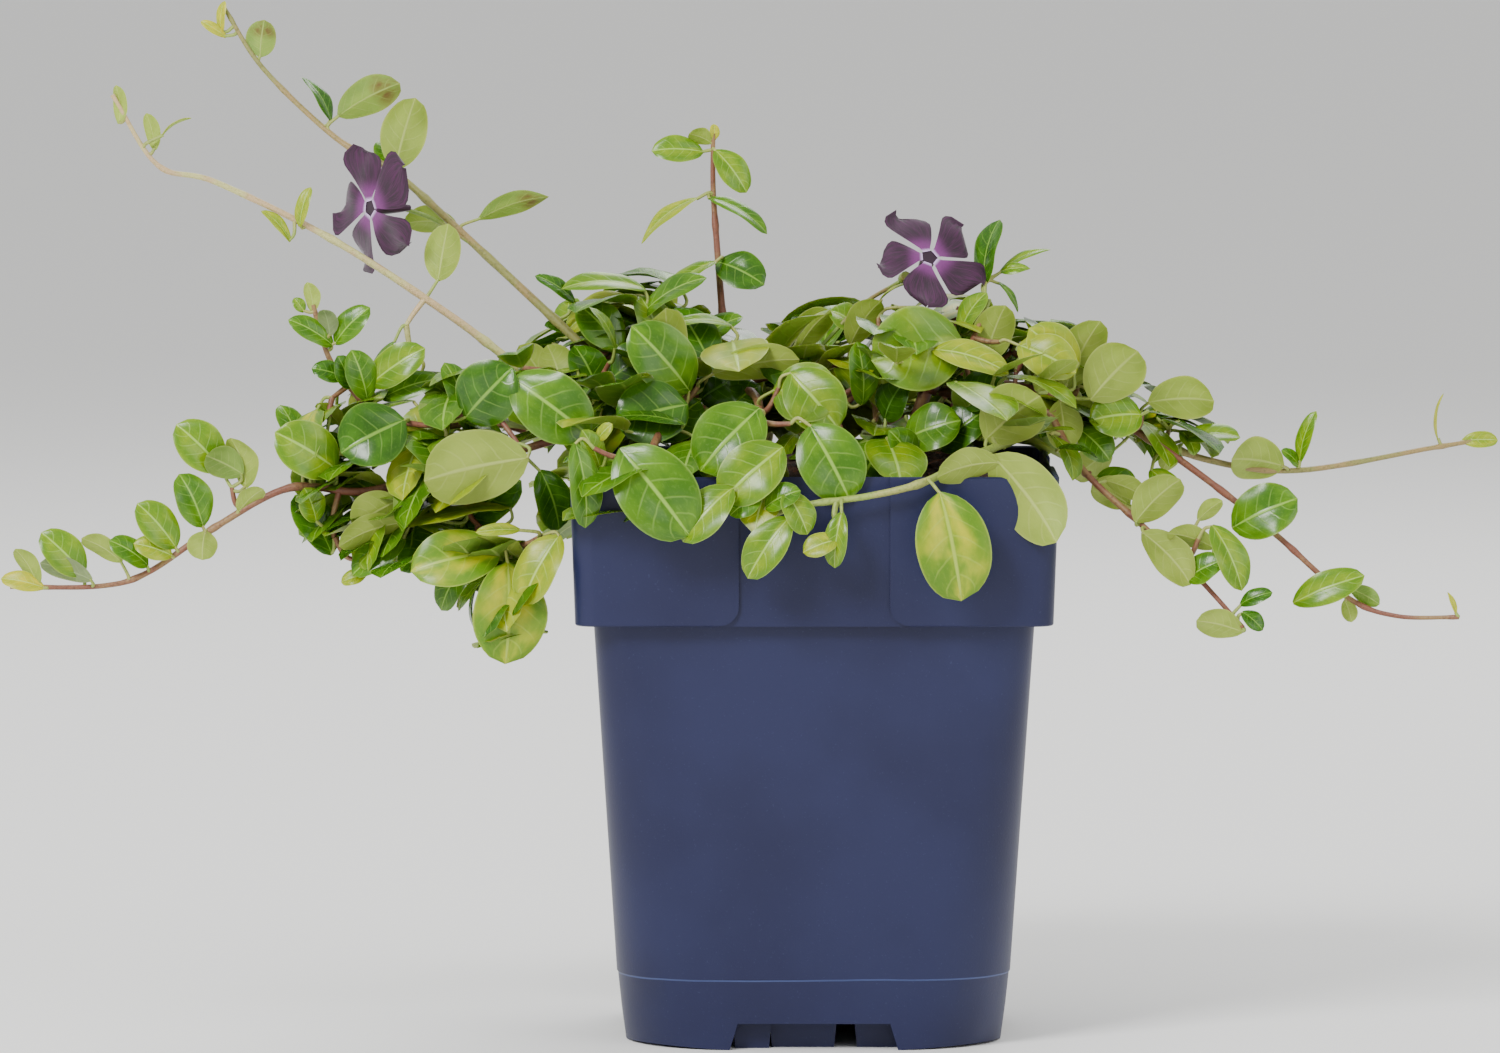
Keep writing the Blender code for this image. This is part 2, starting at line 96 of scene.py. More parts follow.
# Limbs inside the crown, which carry its twigs and leaves
CROWN_LIMBS = (
    ((-24, 0, 147), (-38, -4, 154), (-51, -4, 156)),
    ((-24, 0, 147), (-45, -8, 150), (-67, -12, 153)),
    ((-24, 0, 147), (-55, -14, 147), (-80, -20, 141), (-97, -20, 139)),
    ((-24, 0, 147), (-50, -20, 140), (-87, -28, 129)),
    ((-24, 0, 147), (-21, 4, 151), (-20, 8, 154)),
    ((26, -4, 148), (42, -1, 149), (57, 2, 146)),
    ((26, -4, 148), (48, -6, 147), (68, -6, 142)),
    ((26, -4, 148), (42, -12, 147), (54, -18, 143)),
    ((26, -4, 148), (36, -20, 146), (44, -38, 138)),
    ((-24, 0, 147), (-14, 20, 151), (-4, 40, 150)),
    ((-24, 0, 147), (-30, -22, 146), (-36, -44, 138), (-38, -54, 130)),
    ((-24, 0, 147), (-14, -20, 148), (-12, -40, 141), (-12, -52, 132)),
    ((26, -4, 148), (12, -14, 149), (4, -30, 146)),
    ((26, -4, 148), (30, 4, 158), (34, 6, 166)),
    ((-24, 0, 147), (-40, 18, 150), (-46, 40, 146), (-44, 58, 138)),
    ((26, -4, 148), (36, 18, 150), (34, 40, 147), (30, 58, 140)),
    ((-24, 0, 147), (-6, -6, 152), (8, -12, 154), (26, -4, 148)),
)

# Species sizes, with the least half width of a blade at its neck and at its point
LEAF_THICK = 0.32
NECK_HALF = 0.35
POINT_HALF = 0.06
PETIOLE_RADIUS = 0.42
PETIOLE_LONG = 4.5
TWIG_RADIUS = 0.75
TWIG_FROM = 9.0
STEM_JOINT_GAP = 21.0
JOINT_HALF = 1.3
JOINT_SWELL = 0.28
LIMB_RADIUS = 1.15
LIMB_TAPER = 0.3
# A twig sags by this share of its length
SAG = 0.08

# Leaf finishes lie in square tiles of the UV map, with a margin round each
ATLAS = 5
TILE_EDGE = 0.04
TILE_SPAN = 1.0 - 2 * TILE_EDGE
# Moves each tile's pattern on, so that no two looks have the same patches
TILE_SHIFT = 3.7
# Patterns for each leaf length of about 24 mm: patches of 10 mm, grain of 0.9 mm, side veins
# 4.3 mm apart
PATCHES = 2.4
GRAINS = 26.0
VEIN_PAIRS = 5.6
# Edges sharper than this are shaded as edges
SHARP_FROM = math.radians(70)
# A Map Range node with this setting rises or falls softly from one end of its range to the other
SMOOTH = dict(interpolation_type="SMOOTHSTEP")


def photo_place(px, py, depth):
    """The place at a depth (y) that the photo shows at a pixel."""
    right = (px - PHOTO_WIDE / 2) / FOCAL_PIXELS
    up = (PHOTO_HIGH / 2 - py) / FOCAL_PIXELS
    ray = CAMERA_AHEAD + Vector((1, 0, 0)) * right + CAMERA_UP * up
    return CAMERA_PLACE + ray * ((depth - CAMERA_PLACE.y) / ray.y)


def tone(code):
    """An sRGB hex colour as linear red, green, blue and alpha."""
    channels = [int(code[i:i + 2], 16) / 255 for i in (0, 2, 4)]
    linear = [c / 12.92 if c <= 0.04045 else ((c + 0.055) / 1.055) ** 2.4 for c in channels]
    return (*linear, 1.0)


def new_material(name):
    material = bpy.data.materials.new(name)
    material.use_nodes = True
    return material, material.node_tree.nodes["Principled BSDF"]


def feed(node, sources):
    """Give each input of a node its value, or a link from the socket that is its source."""
    for key, source in sources.items():
        if isinstance(source, bpy.types.NodeSocket):
            node.id_data.links.new(source, node.inputs[key])
        else:
            node.inputs[key].default_value = source


def add_node(material, kind, sources=(), out=0, **settings):
    """Add a node with its settings and sources, by name or in order, and give an output."""
    node = material.node_tree.nodes.new("ShaderNode" + kind)
    for key, value in settings.items():
        setattr(node, key, value)
    feed(node, sources if isinstance(sources, dict) else dict(enumerate(sources)))
    return node.outputs[out]


def coated(material, base, *coats):
    """A base colour under coats of others, each with the share of it that shows."""
    colour = tone(base)
    for share, code in coats:
        # Inputs 6 and 7 and output 2 of a Mix node are its colours
        colour = add_node(material, "Mix", {0: share, 6: colour, 7: tone(code)}, 2,
                          data_type="RGBA")
    return colour


def leaf_finish(name, tile, blade, light, vein, margin, roughness, relief, spoil):
    """Waxy living leaf, smooth as it grew.

    To the eye it is glossy green in soft patches, with pale sunk veins, a thin pale margin, a
    little light coming through and, if spoiled, patches of yellow or brown towards the tip. Painted
    shade darkens the blade from its middle towards the margin, in the blade's own colour.
    """
    material, shader = new_material(name)
    add = partial(add_node, material)
    row, column = divmod(tile, ATLAS)
    local = add("Mapping", {
        "Vector": add("UVMap", uv_map="OFBake"),
        "Location": (-(column + TILE_EDGE) / TILE_SPAN, -(row + TILE_EDGE) / TILE_SPAN,
                     tile * TILE_SHIFT),
        "Scale": (ATLAS / TILE_SPAN, ATLAS / TILE_SPAN, 1.0)})
    along = add("SeparateXYZ", (local,), "X")
    offset = add("Math", (add("SeparateXYZ", (local,), "Y"), 0.5), operation="SUBTRACT")
    across = add("Math", (add("Math", (offset,), operation="ABSOLUTE"), 2.0),
                 operation="MULTIPLY")
    mottle = add("TexNoise", {"Vector": local, "Scale": PATCHES, "Detail": 3.0,
                              "Roughness": 0.5}, "Fac")
    grain = add("TexNoise", {"Vector": local, "Scale": GRAINS, "Detail": 2.0}, "Fac")
    coats = [(add("MapRange", (mottle, 0.36, 0.64), **SMOOTH), light)]
    if spoil:
        code, least, start = spoil
        patch = add("MapRange", (mottle, least - 0.1, least + 0.14), **SMOOTH)
        reach = add("MapRange", (along, start - 0.12, start + 0.12), **SMOOTH)
        coats.append((add("Math", (patch, reach), operation="MULTIPLY"), code))
    # Side veins leave the midrib at a slant, arch towards the tip and fade near the margin
    bend = add("Math", (across, 0.7, 0.8), operation="MULTIPLY_ADD")
    arch = add("Math", (across, bend), operation="MULTIPLY")
    step = add("Math", (along, VEIN_PAIRS), operation="MULTIPLY")
    slant = add("Math", (step, arch), operation="SUBTRACT")
    slant = add("Math", (mottle, 0.5, slant), operation="MULTIPLY_ADD")
    wave = add("Math", (add("Math", (slant,), operation="FRACT"), 0.5), operation="SUBTRACT")
    wave = add("Math", (wave,), operation="ABSOLUTE")
    line = add("MapRange", (wave, 0.02, 0.09, 0.3, 0.0), **SMOOTH)
    fade = add("MapRange", (across, 0.5, 0.95, 1.0, 0.0), **SMOOTH)
    side_vein = add("Math", (line, fade), operation="MULTIPLY")
    midrib = add("MapRange", (across, 0.02, 0.075, 0.85, 0.0), **SMOOTH)
    lines = add("Math", (side_vein, midrib), operation="MAXIMUM")
    fine = add("MapRange", (grain, 0.5, 0.75, 0.0, 0.1), **SMOOTH)
    # Painted shade: the blade's own darker colour returns towards the margin, up to 0.45 of it,
    # darker where the blade curves away from the light
    coats += [(add("MapRange", (across, 0.25, 0.95, 0.0, 0.45), **SMOOTH), blade),
              (add("Math", (lines, fine), operation="MAXIMUM"), vein),
              (add("MapRange", (across, 0.93, 1.0, 0.0, 0.5), **SMOOTH), margin)]
    height = add("Math", (grain, 0.25), operation="MULTIPLY")
    height = add("Math", (height, lines), operation="SUBTRACT")
    feed(shader, {
        "Base Color": coated(material, blade, *coats),
        "Normal": add("Bump", {"Height": height, "Strength": relief, "Distance": 0.25 * MM}),
        "Roughness": roughness,
        "Specular IOR Level": 0.38,
        "Subsurface Weight": 0.15,
        "Subsurface Radius": (1.0, 1.6, 0.3),
        "Subsurface Scale": 1.2 * MM})
    return material


# Looks of the upper face: the look beneath, the colours of the blade (also painted as shade
# towards its margin), its patches, its veins and its margin, and the roughness
LEAF_LOOKS = {
    "deep": ("under_green", "295202", "3D6C05", "7FA83C", "6F9A34", 0.22),
    "rich": ("under_green", "3A6603", "598406", "93B94A", "86AC40", 0.25),
    "fresh": ("under_pale", "557C04", "7D9808", "A3C456", "A4C050", 0.27),
    "lime": ("under_pale", "7A9206", "A3AA0B", "B4CE66", "BBD066", 0.33),
    "young": ("under_lime", "A0A40E", "C0B513", "B6CC66", "B4C666", 0.4),
    "yellowing": ("under_pale", "4F7A05", "759408", "A9BE48", "A8BE46", 0.34),
    "spoiled": ("under_pale", "6C8A08", "99A40D", "B0C458", "B0C054", 0.34),
    "dark": ("under_green", "234603", "345E05", "5C8830", "5C8630", 0.22),
}
# Looks of the face beneath, as colours in the same order
UNDER_LOOKS = {
    "under_green": ("63802A", "739034", "95A854", "8EA24C"),
    "under_pale": ("859834", "94A640", "ACB862", "A6B458"),
    "under_lime": ("8CA036", "9AAE42", "AEBC60", "A8B85A"),
    "under_brown_tip": ("76903A", "869E3E", "A0AE5A", "9AA856"),
    "under_grey": ("6A7A4C", "7A8858", "90A06C", "889468"),
}
# Yellow or brown patches: colour, how high the mottling is where they are, and the share along
# the blade that they start at
SPOILED = {
    "yellowing": ("B4B414", 0.6, 0.0),
    "spoiled": ("6E5224", 0.56, 0.62),
    "under_brown_tip": ("6A4A26", 0.5, 0.6),
}
UPPER_RELIEF = 0.25
UNDER_RELIEF = 0.35
UNDER_ROUGHNESS = 0.55
# Each look's tile and finish
finishes = {}
for look, (_, *colours, roughness) in LEAF_LOOKS.items():
    tile = len(finishes)
    finishes[look] = (tile, leaf_finish("living_leaf_" + look, tile, *colours, roughness,
                                        UPPER_RELIEF, SPOILED.get(look)))
for look, colours in UNDER_LOOKS.items():
    tile = len(finishes)
    name = "leaf_underside_" + look.removeprefix("under_")
    finishes[look] = (tile, leaf_finish(name, tile, *colours, UNDER_ROUGHNESS, UNDER_RELIEF,
                                        SPOILED.get(look)))


class Pile:
    """Corners, faces, finishes and UVs of many small shapes that become one piece."""

    def __init__(self):
        self.corners = []
        self.faces = []
        self.looks = []
        self.maps = []

    def add(self, corners, faces, looks, maps):
        start = len(self.corners)
        self.corners.extend(corners)
        self.faces.extend([tuple(start + i for i in face) for face in faces])
        self.looks.extend(looks)
        self.maps.extend(maps)

    def piece(self, name, materials, nodes, slot):
        mesh = bpy.data.meshes.new(name)
        mesh.from_pydata([Vector(c) * MM for c in self.corners], [], self.faces)
        for material in materials:
            mesh.materials.append(material)
        mesh.polygons.foreach_set("material_index", self.looks)
        layer = mesh.uv_layers.new(name="OFBake")
        layer.data.foreach_set("uv", np.array(self.maps, dtype=np.float32).ravel())
        mesh.shade_smooth()
        mesh.set_sharp_from_angle(angle=SHARP_FROM)
        thing = bpy.data.objects.new(name, mesh)
        bpy.context.scene.collection.objects.link(thing)
        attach(thing, "root")
        if nodes:
            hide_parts(*nodes)


def closed_sheet(rows, columns, place):
    """A thin closed sheet: its corners, its faces, and each face's side and grid shares.

    place gives the corner at a share along, a share across and a side: 1 on the upper face,
    -1 beneath and 0 on the edge, where the two faces meet.
    """
    corners = []
    faces = []
    grid = []
    index = {}
    for side in (1, -1):
        for i in range(rows):
            for j in range(columns):
                ring = [(i, j), (i + 1, j), (i + 1, j + 1), (i, j + 1)][::side]
                face = []
                for a, b in ring:
                    key = (a, b, 0 if a in (0, rows) or b in (0, columns) else side)
                    if key not in index:
                        index[key] = len(corners)
                        corners.append(place(a / rows, b / columns, key[2]))
                    face.append(index[key])
                faces.append(face)
                grid.append((side, [(a / rows, b / columns) for a, b in ring]))
    return corners, faces, grid


# How a blade widens from its base and narrows to its tip, as powers
OVAL = (0.6, 0.54)
LANCE = (0.8, 0.95)
# How far a wavy margin's ripple turns along a blade
RIPPLE_TURN = 9.0


def leaf_outline(share, broad):
    """Half width along a blade, 0 to 1, at its widest 1."""
    low, high = OVAL if broad else LANCE
    peak = low / (low + high)
    most = peak ** low * (1 - peak) ** high
    return share ** low * (1 - share) ** high / most


def add_leaf(pile, base, tip, width, upward, look, under=None, bow=0.08, fold=14.0, curl=0.0,
             wave=0.0, rows=8, columns=4, broad=True):
    """A closed blade from base to tip, its upper face towards upward."""
    length = (tip - base).length
    ahead = (tip - base) / length
    normal = (upward - ahead * upward.dot(ahead)).normalized()
    sideways = ahead.cross(normal)
    tilt = math.radians(fold)
    tiles = {1: finishes[look][0], -1: finishes[under or LEAF_LOOKS[look][0]][0]}
    phase = chance.uniform(0, math.tau)

    def place(u, v, side):
        v = v * 2 - 1
        half = max(width / 2 * leaf_outline(u, broad), NECK_HALF * (1 - u) + POINT_HALF)
        lift = abs(v) * half * math.sin(tilt) - abs(v) ** 3 * half * math.sin(tilt) * 0.5
        ripple = wave * half * v * v * math.sin(phase + u * RIPPLE_TURN + v)
        arch = bow * length * 4 * u * (1 - u) - curl * length * u ** 3
        return (base + ahead * (length * u) + sideways * (v * half * math.cos(tilt * 0.8))
                + normal * (arch + lift + ripple + LEAF_THICK / 2 * side))

    corners, faces, grid = closed_sheet(rows, columns, place)
    maps = [((tiles[side] % ATLAS + TILE_EDGE + TILE_SPAN * a) / ATLAS,
             (tiles[side] // ATLAS + TILE_EDGE + TILE_SPAN * b) / ATLAS)
            for side, ring in grid for a, b in ring]
    pile.add(corners, faces, [tiles[side] for side, _ in grid], maps)


def smooth_route(stations, steps):
    """A smooth line through the stations, as points in order."""
    points = [Vector(station) for station in stations]
    padded = [points[0] * 2 - points[1]] + points + [points[-1] * 2 - points[-2]]
    route = []
    for before, start, end, after in zip(padded, padded[1:], padded[2:], padded[3:]):
        for step in range(steps):
            t = step / steps
            route.append(0.5 * (2 * start + (end - before) * t
                                + (2 * before - 5 * start + 4 * end - after) * t * t
                                + (3 * start - before - 3 * end + after) * t ** 3))
    route.append(points[-1])
    return route


def add_tube(pile, route, radii, sides, look=0, ridge=0.0):
    """A closed tube along a route, with a radius at each point and, if asked, three ridges."""
    corners = []
    across = None
    for i, place in enumerate(route):
        ahead = (route[min(i + 1, len(route) - 1)] - route[max(i - 1, 0)]).normalized()
        if across is None:
            across = ahead.orthogonal().normalized()
        across = (across - ahead * across.dot(ahead)).normalized()
        other = ahead.cross(across)
        for k in range(sides):
            angle = math.tau * k / sides
            rough = noise.noise(place * 0.9 + Vector((k, 0, 0)))
            radius = radii[i] * (1 + ridge * math.cos(3 * angle + i * 0.15) + ridge * 0.6 * rough)
            corners.append(place + across * (radius * math.cos(angle))
                           + other * (radius * math.sin(angle)))
    faces = []
    maps = []
    last = len(route) - 1
    for i in range(last):
        for k in range(sides):
            after = (k + 1) % sides
            faces.append((i * sides + k, i * sides + after, (i + 1) * sides + after,
                          (i + 1) * sides + k))
            maps += [(a / last, b / sides)
                     for a, b in ((i, k), (i, k + 1), (i + 1, k + 1), (i + 1, k))]
    for ring in (range(sides)[::-1], range(last * sides, (last + 1) * sides)):
        faces.append(tuple(ring))
        maps += [(0.5, 0.5)] * sides
    pile.add(corners, faces, [look] * len(faces), maps)


def bark_finish(name, skin, shade, flush):
    """Thin living bark: to the eye dull, with dark specks of 0.7 mm and flushes of 9 mm."""
    material, shader = new_material(name)
    add = partial(add_node, material)
    where = add("TexCoord", (), "Object")
    patch = add("TexNoise", {"Vector": where, "Scale": 1 / (9 * MM), "Detail": 3.0}, "Fac")
    speck = add("TexNoise", {"Vector": where, "Scale": 1 / (0.7 * MM), "Detail": 3.0}, "Fac")
    feed(shader, {
        "Base Color": coated(
            material, skin, (add("MapRange", (patch, 0.42, 0.6), **SMOOTH), flush),
            (add("MapRange", (speck, 0.5, 0.7, 0.0, 0.6), **SMOOTH), shade)),
        "Normal": add("Bump", {"Height": speck, "Strength": 0.5, "Distance": 0.2 * MM}),
        "Roughness": 0.5})
    return material


BARKS = {
    "olive": bark_finish("olive_stem_skin", "868546", "5E5E2C", "9A8250"),
    "cream": bark_finish("pale_stem_skin", "C2BE7C", "9E9456", "C2A67C"),
    "red": bark_finish("reddish_stem_skin", "7E4C38", "583024", "8F7046"),
    "green": bark_finish("green_stem_skin", "93A64A", "6F8438", "A3A558"),
}
BARK_ORDER = list(BARKS)
# Every stem, limb and twig that leaves can grow from, as its route and bark
network = []


def grow_stem(name, stations, thick, thin, bark):
    """A stem with swollen joints, as a piece of its own that shows the node of its name."""
    route = smooth_route(stations, 10)
    travelled = 0.0
    radii = []
    for i, place in enumerate(route):
        if i:
            travelled += (place - route[i - 1]).length
        share = i / (len(route) - 1)
        off_joint = travelled % STEM_JOINT_GAP - STEM_JOINT_GAP / 2
        swell = math.exp(-(off_joint / JOINT_HALF) ** 2)
        radii.append((thick + (thin - thick) * share) * (1 + JOINT_SWELL * swell))
    network.append((route, bark))
    pile = Pile()
    add_tube(pile, route, radii, 10, ridge=0.05)
    pile.piece(name + "_bark", [BARKS[bark]], [name], "stems")


for name, (stations, thick, thin, bark) in {**STEMS, **RUNNERS}.items():
    grow_stem(name, stations, thick, thin, bark)

twigs = Pile()
for stations in CROWN_LIMBS:
    route = smooth_route(stations, 6)
    radii = [LIMB_RADIUS - LIMB_TAPER * i / len(route) for i in range(len(route))]
    add_tube(twigs, route, radii, 7, BARK_ORDER.index("red"))
    network.append((route, "red"))


def nearest_stem(place):
    """The nearest point of any stem, with its gap, the way the stem runs there and its bark."""
    best = (math.inf, None, None, None)
    for route, bark in network:
        for i, point in enumerate(route):
            gap = (point - place).length
            if gap < best[0]:
                run = route[min(i + 1, len(route) - 1)] - route[max(i - 1, 0)]
                best = (gap, point, run.normalized(), bark)
    return best


def hang_leaf(base, tip):
    """Join a blade's base to the nearest stem with a petiole, by way of a twig if it's far."""
    ahead = (tip - base).normalized()
    gap, point, way, bark = nearest_stem(base)
    if gap > TWIG_FROM:
        joint = point + (base - point) * (1 - PETIOLE_LONG / gap)
        middle = (point + joint) / 2 + UP * (-SAG * gap) + way * 0.06 * gap
        route = smooth_route((point, middle, joint), 5)
        radii = [TWIG_RADIUS - 0.2 * i / 10 for i in range(len(route))]
        add_tube(twigs, route, radii, 6, BARK_ORDER.index(bark))
        network.append((route, bark))
        point = joint
    reach = (base - point).length
    middle = (point + base) / 2 - ahead * 0.25 * reach + way * 0.1 * reach
    route = smooth_route((point, middle, base + ahead * 0.4), 4)
    radii = [PETIOLE_RADIUS * (1.15 - 0.25 * i / 8) for i in range(len(route))]
    add_tube(twigs, route, radii, 6, BARK_ORDER.index("green"))


def facing(base, tip, roll):
    """The way a blade's upper face looks: 0 at the viewer, 90 up, 180 away from the viewer."""
    ahead = (tip - base).normalized()
    viewer = Vector((0, -1, 0))
    near = (viewer - ahead * viewer.dot(ahead)).normalized()
    lifted = ahead.cross(near)
    if lifted.z < -0.05 or (abs(lifted.z) <= 0.05 and lifted.x < 0):
        lifted.negate()
    angle = math.radians(roll)
    return near * math.cos(angle) + lifted * math.sin(angle)


